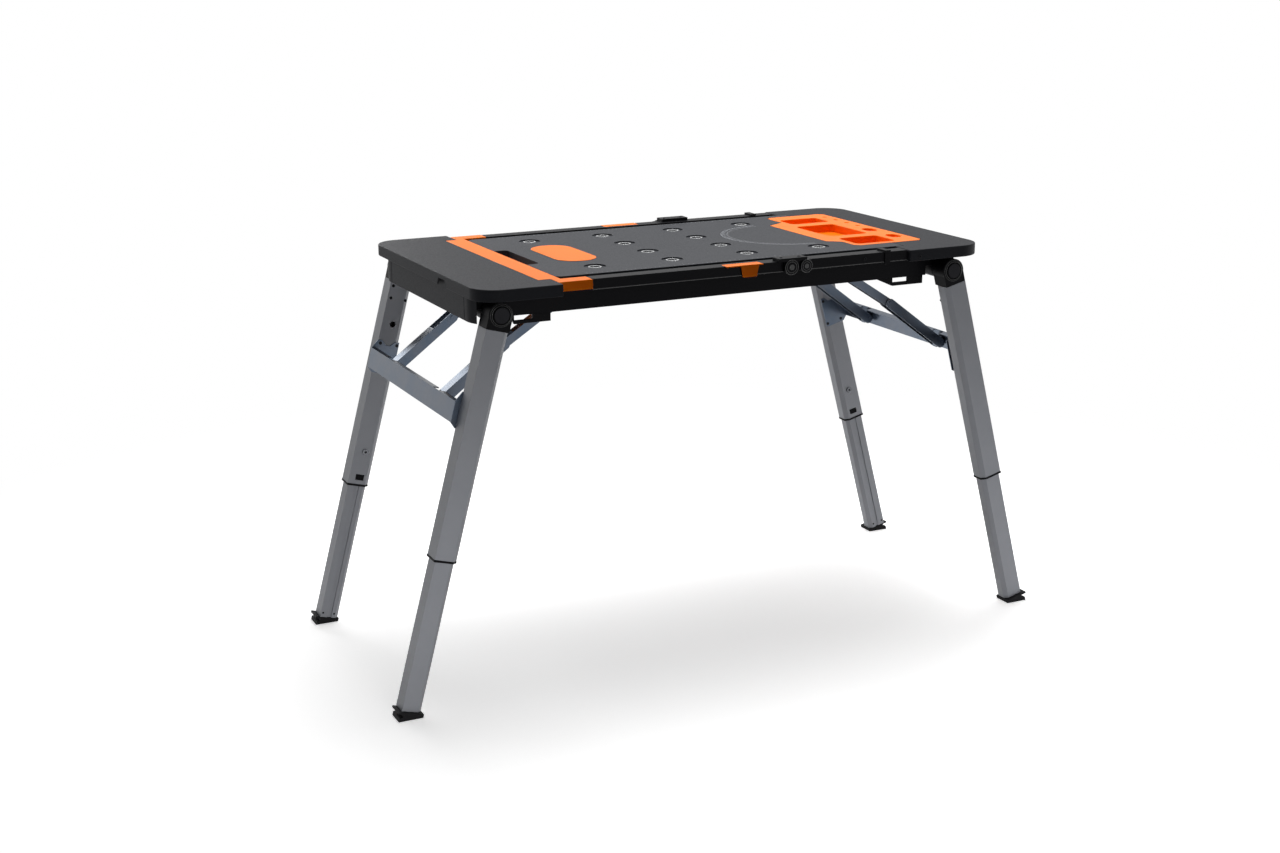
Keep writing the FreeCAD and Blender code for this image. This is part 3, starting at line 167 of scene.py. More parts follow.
def new_tree(name: str, inputs: dict[str, str]) -> tuple[bpy.types.NodeTree, bpy.types.Node]:
    """Start a geometry tree.

    Args:
        name: Name of the tree.
        inputs: Socket type of each further named input.

    Returns:
        The tree and its input node.
    """
    tree = bpy.data.node_groups.new(name, "GeometryNodeTree")
    face = tree.interface
    face.new_socket("Geometry", in_out="INPUT", socket_type="NodeSocketGeometry")
    for label, kind in inputs.items():
        face.new_socket(label, in_out="INPUT", socket_type=kind)
    face.new_socket("Geometry", in_out="OUTPUT", socket_type="NodeSocketGeometry")
    return tree, add_node(tree, "NodeGroupInput")


def end_tree(
    tree: bpy.types.NodeTree, shape: bpy.types.NodeSocket, material: bpy.types.Material
) -> None:
    """Close a geometry tree: make instances real and set the material."""
    real = add_node(tree, "GeometryNodeRealizeInstances", None, {"Geometry": shape})
    painted = add_node(
        tree, "GeometryNodeSetMaterial", {"Material": material}, {"Geometry": real.outputs[0]})
    add_node(tree, "NodeGroupOutput", None, {0: painted.outputs[0]})


def grown(
    piece: bpy.types.Object, tree: bpy.types.NodeTree, inputs: dict[str, Any]
) -> bpy.types.Object:
    """Run a geometry tree on a piece and keep the result as a plain mesh.

    Args:
        piece: The piece that feeds the tree.
        tree: The geometry tree.
        inputs: Values of its named inputs.

    Returns:
        The same piece.
    """
    grow = piece.modifiers.new("grow", "NODES")
    grow.node_group = tree
    sockets = {item.name: item.identifier for item in tree.interface.items_tree
               if item.in_out == "INPUT"}
    for label, value in inputs.items():
        grow[sockets[label]] = value
    return made_plain(piece)


def on_leg(end: str, side: str, across: float, down: float, y: float) -> Vector:
    """Give a place on a leg at rest, from sizes in millimetres.

    Args:
        end: Which end of the bench.
        side: Which side of the bench.
        across: Distance outwards from the leg's middle line.
        down: Distance down the leg from its pivot.
        y: Distance from the bench's long middle line.

    Returns:
        The place in metres.
    """
    sin, cos = math.sin(LEG_TILT), math.cos(LEG_TILT)
    out = LEG_PIVOT.x + (down * sin + across * cos) * MM
    return Vector((ENDS[end] * out, SIDES[side] * y * MM,
                   LEG_PIVOT.z + (across * sin - down * cos) * MM))


def settle(piece: bpy.types.Object, body: str) -> bpy.types.Object:
    """Give a finished piece its body and log it.

    Args:
        piece: The finished piece.
        body: The moving body that carries it.

    Returns:
        The same piece.
    """
    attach(piece, body)
    log.info("%s rides on %s, %d faces", piece.name, body, len(piece.data.polygons))
    return piece


# Finishes


class Grain(Enum):
    """How a finish is textured."""

    PEBBLE = "pebble"
    DRAWN = "drawn"
    SPANGLE = "spangle"
    SMOOTH = "smooth"


@dataclass(frozen=True)
class Finish:
    """A surface finish that a material is made from.

    Attributes:
        name: What the finish is, in a maker's words.
        slot: The record's material slot.
        colour: Its sRGB colour.
        second: The sRGB colour that it drifts to in patches.
        roughness: Roughness of the surface.
        spread: How far roughness drifts each way.
        metallic: One for bare metal.
        specular: The shader's specular level, low on a fine matte grain.
        grain: The kind of texture.
        grain_mm: Size of one grain, or of one draw line, in millimetres.
        depth_mm: Height of the grain in millimetres.
        tilt: Turn of draw lines about Y in radians.
        along: Axis that draw lines follow, as an index.
    """

    name: str
    slot: str
    colour: str
    second: str
    roughness: float
    spread: float = 0.06
    metallic: float = 0.0
    specular: float = 0.5
    grain: Grain = Grain.SMOOTH
    grain_mm: float = 2.0
    depth_mm: float = 0.1
    tilt: float = 0.0
    along: int = 2

    def material(self) -> bpy.types.Material:
        """Build the material, or give the one already built."""
        if self.name in bpy.data.materials:
            return bpy.data.materials[self.name]
        made = bpy.data.materials.new(self.name)
        made.use_nodes = True
        tree = made.node_tree
        tree.nodes.clear()
        place = add_node(tree, "ShaderNodeTexCoord")
        turned = add_node(
            tree, "ShaderNodeMapping", {"Rotation": (0, self.tilt, 0)},
            {"Vector": place.outputs["Object"]})
        patches = add_node(
            tree, "ShaderNodeTexNoise", PATCHES,
            {"Vector": turned.outputs[0]})
        hue = add_node(
            tree, "ShaderNodeMix", {6: linear(self.colour), 7: linear(self.second)},
            {"Factor": patches.outputs["Fac"]}, data_type="RGBA")
        grain = self._grain(tree, turned.outputs[0])
        rough = add_node(
            tree, "ShaderNodeMapRange",
            {"To Min": self.roughness - self.spread, "To Max": self.roughness + self.spread},
            {"Value": grain})
        bump = add_node(
            tree, "ShaderNodeBump", {"Strength": BUMP_STRENGTH, "Distance": self.depth_mm * MM},
            {"Height": grain})
        skin = add_node(
            tree, "ShaderNodeBsdfPrincipled",
            {"Metallic": self.metallic, "Specular IOR Level": self.specular},
            {"Base Color": hue.outputs[2], "Roughness": rough.outputs[0],
             "Normal": bump.outputs[0]})
        add_node(tree, "ShaderNodeOutputMaterial", None, {"Surface": skin.outputs[0]})
        made.diffuse_color = linear(self.colour)
        return made

    def _grain(
        self, tree: bpy.types.NodeTree, place: bpy.types.NodeSocket
    ) -> bpy.types.NodeSocket:
        """Add the texture nodes of the grain.

        Args:
            tree: The material's tree.
            place: The coordinates to read.

        Returns:
            The socket with the grain's height.
        """
        per_metre = 1 / (self.grain_mm * MM)
        if self.grain is Grain.DRAWN:
            scale = [1.0, 1.0, 1.0]
            scale[self.along] = DRAW_STRETCH
            stretched = add_node(
                tree, "ShaderNodeMapping", {"Scale": scale}, {"Vector": place})
            return add_node(
                tree, "ShaderNodeTexNoise", {"Scale": per_metre, "Detail": 3.0},
                {"Vector": stretched.outputs[0]}).outputs["Fac"]
        if self.grain is Grain.PEBBLE:
            return add_node(
                tree, "ShaderNodeTexVoronoi", {"Scale": per_metre}, {"Vector": place},
                feature="SMOOTH_F1").outputs["Distance"]
        detail = 3.0 if self.grain is Grain.SPANGLE else 1.0
        return add_node(
            tree, "ShaderNodeTexNoise", {"Scale": per_metre, "Detail": detail},
            {"Vector": place}).outputs["Fac"]


# Glass-filled polypropylene from a spark-eroded mould: dark grey, with a pebble that
# catches the light at a low angle. The pebble is drawn at twice its size so that it shows.
GRAINED_COVER = Finish(
    "grained_polypropylene", "dark_plastic", "#1a1b1f", "#1f2024", 0.54, 0.07, specular=0.08,
    grain=Grain.PEBBLE, grain_mm=2.2, depth_mm=0.10)
# The board's moulded face: a shade lighter than the covers, with a slightly coarser pebble.
GRAINED_BOARD = Finish(
    "grained_board", "deck_composite", "#1f2126", "#24262c", 0.52, 0.07, specular=0.12,
    grain=Grain.PEBBLE, grain_mm=2.4, depth_mm=0.10)
# Black anodised extruded aluminium: a satin black with faint lines along the bar.
BLACK_ANODISED = Finish(
    "black_anodised_aluminium", "dark_aluminium", "#0c0c0f", "#101013", 0.44, 0.05,
    specular=0.06, grain=Grain.DRAWN, grain_mm=1.6, depth_mm=0.03, along=0)
# Grey anodised drawn tube: the clouded oxide is about a third mirror and otherwise matte, with
# draw lines down the leg.
LEFT_TUBE = Finish(
    "grey_anodised_tube_left", "grey_aluminium", "#7c7e84", "#84868b", 0.46, 0.06, 0.30,
    grain=Grain.DRAWN, grain_mm=1.4, depth_mm=0.03, tilt=LEG_TILT)
RIGHT_TUBE = Finish(
    "grey_anodised_tube_right", "grey_aluminium", "#7c7e84", "#84868b", 0.46, 0.06, 0.30,
    grain=Grain.DRAWN, grain_mm=1.4, depth_mm=0.03, tilt=-LEG_TILT)
# Zinc plated pressed steel with a blue passivate: bluish, with faint straw and teal patches.
ZINC_PLATE = Finish(
    "blue_zinc_plate", "zinc_steel", "#435568", "#646468", 0.30, 0.04, 1.0,
    grain=Grain.SPANGLE, grain_mm=9.0, depth_mm=0.006)
# Turned steel of the dog hole sleeves: bright, so that each hole shows a pale ring.
BRIGHT_STEEL = Finish(
    "turned_steel", "bright_steel", "#a4a5a7", "#b4b5b6", 0.26, 0.05, 1.0,
    grain_mm=3.0, depth_mm=0.01)
# Drawn steel of the lock buttons, dulled by handling.
BUTTON_STEEL = Finish(
    "dulled_steel", "bright_steel", "#5c5e62", "#6c6d71", 0.22, 0.05, 1.0,
    grain_mm=3.0, depth_mm=0.01)
# Black stove enamel on the small pressed parts: glossy, so that their rims catch the light.
GLOSS_BLACK = Finish(
    "black_enamel", "dark_aluminium", "#0a0a0c", "#0e0e10", 0.20, 0.04,
    grain_mm=3.0, depth_mm=0.01)
# Blackened steel of bolts, screws and rivets: dark, with a thin bright line on its edges.
BLACK_STEEL = Finish(
    "blackened_steel", "black_steel", "#1a1a1c", "#222224", 0.36, 0.05, 1.0,
    grain_mm=3.0, depth_mm=0.01)
# Glossy moulded orange nylon with a faint texture from the mould.
ORANGE = Finish(
    "orange_moulded_nylon", "orange_plastic", "#ff7600", "#ff7e04", 0.42, 0.06, specular=0.10,
    grain_mm=1.8, depth_mm=0.03)
# Fine grained black nylon of heads, collars, clips and brackets.
BLACK_NYLON = Finish(
    "black_moulded_nylon", "black_plastic", "#0b0b0e", "#101012", 0.46, 0.07, specular=0.06,
    grain=Grain.PEBBLE, grain_mm=1.6, depth_mm=0.06)
# Moulded rubber of the feet: dull, slightly dusty on top.
RUBBER = Finish(
    "moulded_rubber", "black_rubber", "#0c0c0e", "#141416", 0.66, 0.10, specular=0.12,
    grain=Grain.PEBBLE, grain_mm=1.8, depth_mm=0.08)
# Matte pad printing of the graduations, and dark ink that paints the shade in the lines pressed
# into the board.
PALE_PRINT = Finish("pale_pad_print", "deck_composite", "#7a7d82", "#84878c", 0.70)
PRESSED_LINE_SHADE = Finish("painted_pressed_line_shade", "deck_composite", "#141416", "#19191b", 0.70)


@dataclass
class SoftNode:
    """A frame node shown again with softened edges.

    Attributes:
        node: The frame's node.
        finish: Its finish.
        round_mm: Radius of its moulded or broken edges in millimetres.
    """

    node: str
    finish: Finish
    round_mm: float = 0.6

    def build(self) -> bpy.types.Object:
        """Copy the node's shape, soften its edges and let the copy stand for it."""
        source = frame["nodes"][self.node]
        shape = bmesh.new()
        shape.from_mesh(source.data)
        bmesh.ops.remove_doubles(shape, verts=shape.verts, dist=WELD_MM * MM)
        bmesh.ops.dissolve_limit(
            shape, angle_limit=FLAT_ANGLE, verts=shape.verts, edges=shape.edges)
        mesh = bpy.data.meshes.new(self.node + "_shell")
        shape.to_mesh(mesh)
        shape.free()
        for face in mesh.polygons:
            face.use_smooth = True
        piece = mesh_piece(self.node + "_shell", mesh)
        edge = piece.modifiers.new("edge", "BEVEL")
        edge.width = self.round_mm * MM
        edge.segments = 2
        edge.limit_method = "ANGLE"
        edge.angle_limit = SHARP_ANGLE
        edge.use_clamp_overlap = False
        even = piece.modifiers.new("even", "WEIGHTED_NORMAL")
        even.mode = "FACE_AREA"
        even.keep_sharp = True
        made_plain(piece)
        piece.data.materials.clear()
        piece.data.materials.append(self.finish.material())
        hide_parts(self.node)
        return settle(piece, source["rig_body"])


# Trees that repeat a shape


@dataclass
class Seat:
    """A place for one repeated fitting: where it sits, the way it faces and its scale."""

    at: Vector
    facing: Vector
    scale: float = 1.0


@dataclass
class Fitting:
    """A small part repeated over seats with one geometry tree.

    Attributes:
        name: Name of the finished piece.
        finish: Its finish.
        body: The body that carries it.
        radius_mm: Radius of the head.
        height_mm: Height of the head.
        recess_mm: Half width of the driver recess, or zero for a rivet.
        seats: Where the fittings sit.
    """

    name: str
    finish: Finish
    body: str
    radius_mm: float
    height_mm: float
    recess_mm: float = 0.0
    seats: list[Seat] = field(default_factory=list)

    def _head(self) -> bpy.types.Object:
        """Build one domed head about +Z, with a cross recess where it has one."""
        radius, height = self.radius_mm * MM, self.height_mm * MM
        shape = bmesh.new()
        rings = []
        for across, up in HEAD_PROFILE:
            rings.append([
                shape.verts.new((
                    across * radius * math.cos(math.tau * i / HEAD_SIDES),
                    across * radius * math.sin(math.tau * i / HEAD_SIDES), up * height))
                for i in range(HEAD_SIDES)])
        for low, high in zip(rings, rings[1:]):
            for i in range(HEAD_SIDES):
                j = (i + 1) % HEAD_SIDES
                shape.faces.new((low[i], low[j], high[j], high[i]))
        shape.faces.new(list(reversed(rings[0])))
        if self.recess_mm:
            self._recess(shape, rings[-1], height)
        else:
            shape.faces.new(rings[-1])
        mesh = bpy.data.meshes.new(self.name + "_head")
        shape.to_mesh(mesh)
        shape.free()
        mesh.polygons.foreach_set("use_smooth", [True] * len(mesh.polygons))
        mesh.set_sharp_from_angle(angle=SHARP_ANGLE)
        return mesh_piece(self.name + "_head", mesh)

    def _recess(
        self, shape: bmesh.types.BMesh, rim: list[bmesh.types.BMVert], height: float
    ) -> None:
        """Sink a cross for the driver into the top of a head.

        Args:
            shape: The head being built.
            rim: The ring of points round the head's flat top.
            height: Height of the head.
        """
        inner, reach = self.recess_mm * MM * RECESS_ARM, self.recess_mm * MM
        corner = [(reach, -inner), (reach, inner), (inner, inner)]
        loop = []
        for turn in range(4):
            spin = Matrix.Rotation(math.tau * turn / 4, 2)
            loop += [spin @ Vector(point) for point in corner]
        top = [shape.verts.new((p.x, p.y, height)) for p in loop]
        floor = [shape.verts.new((p.x, p.y, height * RECESS_FLOOR)) for p in loop]
        for i in range(len(loop)):
            j = (i + 1) % len(loop)
            shape.faces.new((top[i], floor[i], floor[j], top[j]))
        shape.faces.new(floor)
        edges = [shape.edges.get((a, b)) or shape.edges.new((a, b))
                 for ring in (top, rim) for a, b in zip(ring, ring[1:] + ring[:1])]
        bmesh.ops.bridge_loops(shape, edges=edges)
        bmesh.ops.recalc_face_normals(shape, faces=shape.faces)

    def _tree(self) -> bpy.types.NodeTree:
        """Build the tree that sets one head on every seat, turned to face its way."""
        tree, start = new_tree(self.name + "_tree", {"Head": "NodeSocketObject"})
        facing = add_node(tree, "GeometryNodeInputNamedAttribute", {"Name": "facing"},
                          data_type="FLOAT_VECTOR")
        scale = add_node(tree, "GeometryNodeInputNamedAttribute", {"Name": "size"},
                         data_type="FLOAT")
        turn = add_node(tree, "FunctionNodeAlignRotationToVector", None,
                        {"Vector": facing.outputs[0]}, axis="Z")
        info = add_node(tree, "GeometryNodeObjectInfo", None,
                        {"Object": start.outputs["Head"]})
        spread = add_node(
            tree, "GeometryNodeInstanceOnPoints", None,
            {"Points": start.outputs["Geometry"], "Instance": info.outputs["Geometry"],
             "Rotation": turn.outputs[0], "Scale": scale.outputs[0]})
        end_tree(tree, spread.outputs[0], self.finish.material())
        return tree

    def build(self) -> bpy.types.Object:
        """Set the heads on their seats as one plain mesh."""
        mesh = bpy.data.meshes.new(self.name)
        mesh.from_pydata([tuple(seat.at) for seat in self.seats], [], [])
        facing = mesh.attributes.new("facing", "FLOAT_VECTOR", "POINT")
        facing.data.foreach_set("vector", [c for s in self.seats for c in s.facing])
        size = mesh.attributes.new("size", "FLOAT", "POINT")
        size.data.foreach_set("value", [seat.scale for seat in self.seats])
        head = self._head()
        piece = grown(mesh_piece(self.name, mesh), self._tree(), {"Head": head})
        bpy.data.objects.remove(head)
        return settle(piece, self.body)


def ring(centre: Vector, facing: Vector, radius_mm: float, count: int = 40) -> list[Vector]:
    """Give the points of a circle, square to the way it faces.

    Args:
        centre: The circle's middle.
        facing: The way it faces.
        radius_mm: Its radius in millimetres.
        count: How many points it has.

    Returns:
        The points in turn.
    """
    turn = facing.to_track_quat("Z", "Y")
    return [centre + turn @ Vector((radius_mm * MM * math.cos(math.tau * i / count),
                                    radius_mm * MM * math.sin(math.tau * i / count), 0))
            for i in range(count)]


@dataclass
class Bead:
    """A thin raised bead laid along runs of points by one geometry tree.

    Attributes:
        name: Name of the finished piece.
        finish: Its finish.
        body: The body that carries it.
        radius_mm: Radius of the bead.
        runs: The points of each run.
        closed: Whether each run joins up into a ring.
    """

    name: str
    finish: Finish
    body: str
    radius_mm: float
    runs: list[list[Vector]]
    closed: bool = False

    def build(self) -> bpy.types.Object:
        """Lay the bead along every run as one plain mesh."""
        points, edges = [], []
        for run in self.runs:
            first = len(points)
            points += [tuple(point) for point in run]
            edges += [(first + i, first + i + 1) for i in range(len(run) - 1)]
            if self.closed:
                edges.append((first + len(run) - 1, first))
        mesh = bpy.data.meshes.new(self.name)
        mesh.from_pydata(points, edges, [])
        tree, start = new_tree(self.name + "_tree", {"Bead Radius": "NodeSocketFloat"})
        curve = add_node(tree, "GeometryNodeMeshToCurve", None,
                         {"Mesh": start.outputs["Geometry"]})
        profile = add_node(tree, "GeometryNodeCurvePrimitiveCircle", {"Resolution": BEAD_SIDES},
                           {"Radius": start.outputs["Bead Radius"]})
        tube = add_node(tree, "GeometryNodeCurveToMesh", {"Fill Caps": True},
                        {"Curve": curve.outputs[0], "Profile Curve": profile.outputs[0]})
        end_tree(tree, tube.outputs[0], self.finish.material())
        piece = grown(mesh_piece(self.name, mesh), tree, {"Bead Radius": self.radius_mm * MM})
        return settle(piece, self.body)


@dataclass
class Graduations:
    """Printed marks, and dark ink that paints the shade of pressed lines, laid on the board by
    one geometry tree.

    Attributes:
        name: Name of the finished piece.
        finish: Finish of the ink.
        marks: Centre, length, width and turn of each mark, in metres and radians.
        height_mm: Height of the ink above the board.
    """

    name: str
    finish: Finish
    marks: list[tuple[Vector, float, float, float]]
    height_mm: float = 0.06

    def build(self) -> bpy.types.Object:
        """Lay every mark as a thin bar of ink and give the print one mesh."""
        mesh = bpy.data.meshes.new(self.name)
        mesh.from_pydata([tuple(mark[0]) for mark in self.marks], [], [])
        size = mesh.attributes.new("size", "FLOAT_VECTOR", "POINT")
        size.data.foreach_set(
            "vector",
            [c for _, length, width, _ in self.marks
             for c in (length, width, self.height_mm * MM)])
        turn = mesh.attributes.new("turn", "FLOAT", "POINT")
        turn.data.foreach_set("value", [mark[3] for mark in self.marks])
        tree, start = new_tree(self.name + "_tree", {"Ink Unit": "NodeSocketFloat"})
        bar = add_node(tree, "GeometryNodeMeshCube", {"Size": (1.0, 1.0, 1.0)})
        size_read = add_node(tree, "GeometryNodeInputNamedAttribute", {"Name": "size"},
                             data_type="FLOAT_VECTOR")
        turn_read = add_node(tree, "GeometryNodeInputNamedAttribute", {"Name": "turn"},
                             data_type="FLOAT")
        spin = add_node(tree, "ShaderNodeCombineXYZ", None, {"Z": turn_read.outputs[0]})
        unit = add_node(tree, "ShaderNodeVectorMath", None,
                        {0: size_read.outputs[0], "Scale": start.outputs["Ink Unit"]},
                        operation="SCALE")
        spread = add_node(
            tree, "GeometryNodeInstanceOnPoints", None,
            {"Points": start.outputs["Geometry"], "Instance": bar.outputs[0],
             "Rotation": spin.outputs[0], "Scale": unit.outputs[0]})
        end_tree(tree, spread.outputs[0], self.finish.material())
        piece = grown(mesh_piece(self.name, mesh), tree, {"Ink Unit": 1.0})
        return settle(piece, "deck")


@dataclass
class SlotPlug:
    """A rounded plug that fills the slot near the end of an upper tube.

    Attributes:
        end: Which end of the bench.
        side: Which side of the bench.
        size_mm: Its length across the leg, its height and its thickness.
        rim_mm: Width of its raised rim.
        down_mm: How far down the leg its middle sits.
        face_mm: Distance of its face from the bench's long middle line.
        sunk_mm: How far its middle lies behind the rim.
        soft_mm: Width of its softened edges.
    """

    end: str
    side: str
    size_mm: tuple[float, float, float] = (17.4, 11.4, 1.8)
    rim_mm: float = 1.6
    down_mm: float = 445.0
    face_mm: float = 247.4
    sunk_mm: float = 0.7
    soft_mm: float = 0.3

    def build(self) -> bpy.types.Object:
        """Build the plug with its sunk middle and soft edges."""
        half, tall = self.size_mm[0] / 2, self.size_mm[1] / 2
        name = f"{self.side}_{self.end}_slot_plug"
        shape = bmesh.new()
        loops = []
        for inset, y in ((0.0, self.face_mm + self.size_mm[2]), (0.0, self.face_mm),
                         (self.rim_mm, self.face_mm), (self.rim_mm, self.face_mm + self.sunk_mm)):
            loops.append([
                shape.verts.new(on_leg(self.end, self.side, u * (half - inset),
                                       self.down_mm + v * (tall - inset), y))
                for u, v in ((-1, -1), (1, -1), (1, 1), (-1, 1))])
        for low, high in zip(loops, loops[1:]):
            for i in range(4):
                shape.faces.new((low[i], low[i - 1], high[i - 1], high[i]))
        shape.faces.new(loops[0])
        shape.faces.new(loops[-1])
        bmesh.ops.recalc_face_normals(shape, faces=shape.faces)
        bmesh.ops.bevel(shape, geom=shape.edges[:], offset=self.soft_mm * MM, segments=2,
                        affect="EDGES")
        mesh = bpy.data.meshes.new(name)
        shape.to_mesh(mesh)
        shape.free()
        mesh.materials.append(BLACK_NYLON.material())
        return settle(mesh_piece(name, mesh), self.end + "_legs")


# Sub-assemblies


def tick_length(count: int, lengths: tuple[float, float, float]) -> float:
    """Give a mark's length in millimetres.

    Args:
        count: The mark's number.
        lengths: Lengths of a tenth, a fifth and any other mark.

    Returns:
        The length that this mark has.
    """
    return lengths[0] if count % 10 == 0 else lengths[1] if count % 5 == 0 else lengths[2]


def heading(angle: float) -> Vector:
    """Give the unit direction at an angle in the board's plane."""
    return Vector((math.cos(angle), math.sin(angle), 0))


@dataclass
class Board:
    """The lift-out board with its sleeves, pad and printed graduations.

    Attributes:
        edge_mm: Radius of the board's moulded edges.
        ruler_inset_mm: Distance of the ruler from the board's long edges.
        ruler_start: Place of the first mark, in metres.
        ruler_pitch: Distance between marks, in metres.
        ruler_count: How many marks each edge has.
        ruler_lengths: Lengths of a tenth, a fifth and any other mark.
        ruler_ink_mm: Width of a ruler mark.
        protractor: Middle of the protractor, in metres.
        protractor_radius: Radius of its outer arc, in metres.
        protractor_lengths: Lengths of a tenth, a fifth and any other mark.
        protractor_ink_mm: Width of a protractor mark.
        arc_inset: Distance between its two arcs, in metres.
        arc_ink_mm: Width of both arcs.
        arc_degrees: Turn that one bar of an arc covers, with a slight overlap.
        bearing_inset: Distance of the dark inner arc from the outer one, in metres.
        bearing_ink_mm: Width of the dark lines.
        bearing_degrees: Turn between two bearings.
        bearing_arc: Step of the dark arc and the turn that one bar of it covers.
    """

    edge_mm: float = 0.5
    ruler_inset_mm: float = 6.0
    ruler_start: float = -0.290
    ruler_pitch: float = 0.010
    ruler_count: int = 60
    ruler_lengths: tuple[float, float, float] = (8.0, 5.5, 3.5)
    ruler_ink_mm: float = 0.8
    protractor: tuple[float, float] = (0.2586, -0.0007)
    protractor_radius: float = 0.1306
    protractor_lengths: tuple[float, float, float] = (13.0, 10.0, 7.5)
    protractor_ink_mm: float = 0.7
    arc_inset: float = 0.013
    arc_ink_mm: float = 1.0
    arc_degrees: float = 1.02
    bearing_inset: float = 0.016
    bearing_ink_mm: float = 1.2
    bearing_degrees: int = 45
    bearing_arc: tuple[int, float] = (2, 2.04)

    def build(self) -> None:
        """Dress the board, print its marks and paint the shade of its pressed lines."""
        SoftNode("deck_board", GRAINED_BOARD, self.edge_mm).build()
        SoftNode("dog_hole_bushings", BRIGHT_STEEL, 0.4).build()
        SoftNode("oval_pad", ORANGE, 0.5).build()
        Graduations("ruler_marks", PALE_PRINT, self._ruler()).build()
        Graduations("protractor_marks", PALE_PRINT, self._protractor()).build()
        # The pressed lines are drawn as dark ink: painted shade in their grooves.
        Graduations("protractor_lines", PRESSED_LINE_SHADE, self._bearings()).build()

    def _ruler(self) -> list[tuple[Vector, float, float, float]]:
        """Give the marks along both long edges, a long one at every tenth."""
        marks = []
        low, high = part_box("deck_board")
        for side in SIDES.values():
            edge = (high.y if side > 0 else -low.y) - self.ruler_inset_mm * MM
            for step in range(self.ruler_count):
                length = tick_length(step, self.ruler_lengths)
                x = self.ruler_start + step * self.ruler_pitch
                middle = side * (edge - length / 2 * MM)
                marks.append((Vector((x, middle, TOP)), length * MM, self.ruler_ink_mm * MM,
                              math.pi / 2))
        return marks

    def _protractor(self) -> list[tuple[Vector, float, float, float]]:
        """Give the marks of the half protractor and its two arcs."""
        marks = []
        centre = Vector((*self.protractor, TOP))
        for degree in range(90, 271):
            angle = math.radians(degree)
            away = heading(angle)
            length = tick_length(degree, self.protractor_lengths)
            middle = centre + away * (self.protractor_radius - length / 2 * MM)
            marks.append((middle, length * MM, self.protractor_ink_mm * MM, angle))
            for radius in (self.protractor_radius, self.protractor_radius - self.arc_inset):
                marks.append((centre + away * radius, radius * math.radians(self.arc_degrees),
                              self.arc_ink_mm * MM, angle + math.pi / 2))
        return marks

    def _bearings(self) -> list[tuple[Vector, float, float, float]]:
        """Give the dark lines of the protractor, its bearings and its inner arc: painted shade of
        pressed lines.
        """
        marks = []
        centre = Vector((*self.protractor, TOP))
        reach = self.protractor_radius - self.bearing_inset
        ink = self.bearing_ink_mm * MM
        for degree in range(90, 271, self.bearing_degrees):
            angle = math.radians(degree)
            marks.append((centre + heading(angle) * reach / 2, reach, ink, angle))
        step, covered = self.bearing_arc
        for degree in range(90, 270, step):
            angle = math.radians(degree + step // 2)
            marks.append((centre + heading(angle) * reach, reach * math.radians(covered), ink,
                          angle + math.pi / 2))
        return marks


# Places of the frame's small parts. The far hinge link is the near one turned about, so its
# large and small discs change places.
DISC_X_MM = {"near": (109.0, 142.0), "far": (142.0, 109.0)}
DISC_RADII_MM = (15.0, 13.0)
PLATE_SCREW_X_MM = {"near": (92.0, 132.0), "far": (119.0, 159.0)}
PLATE_SCREW_YZ = (0.2765, 0.7963)
FACE_SCREWS = ((0.279, 0.282, 0.780), (0.403, 0.290, 0.776))
RAIL_BEAD_YZ = (0.2820, 0.7706)
RAIL_BEAD_MM = 0.9
RIM_INSETS_MM = (0.9, 4.6)
RIM_MM = 0.8


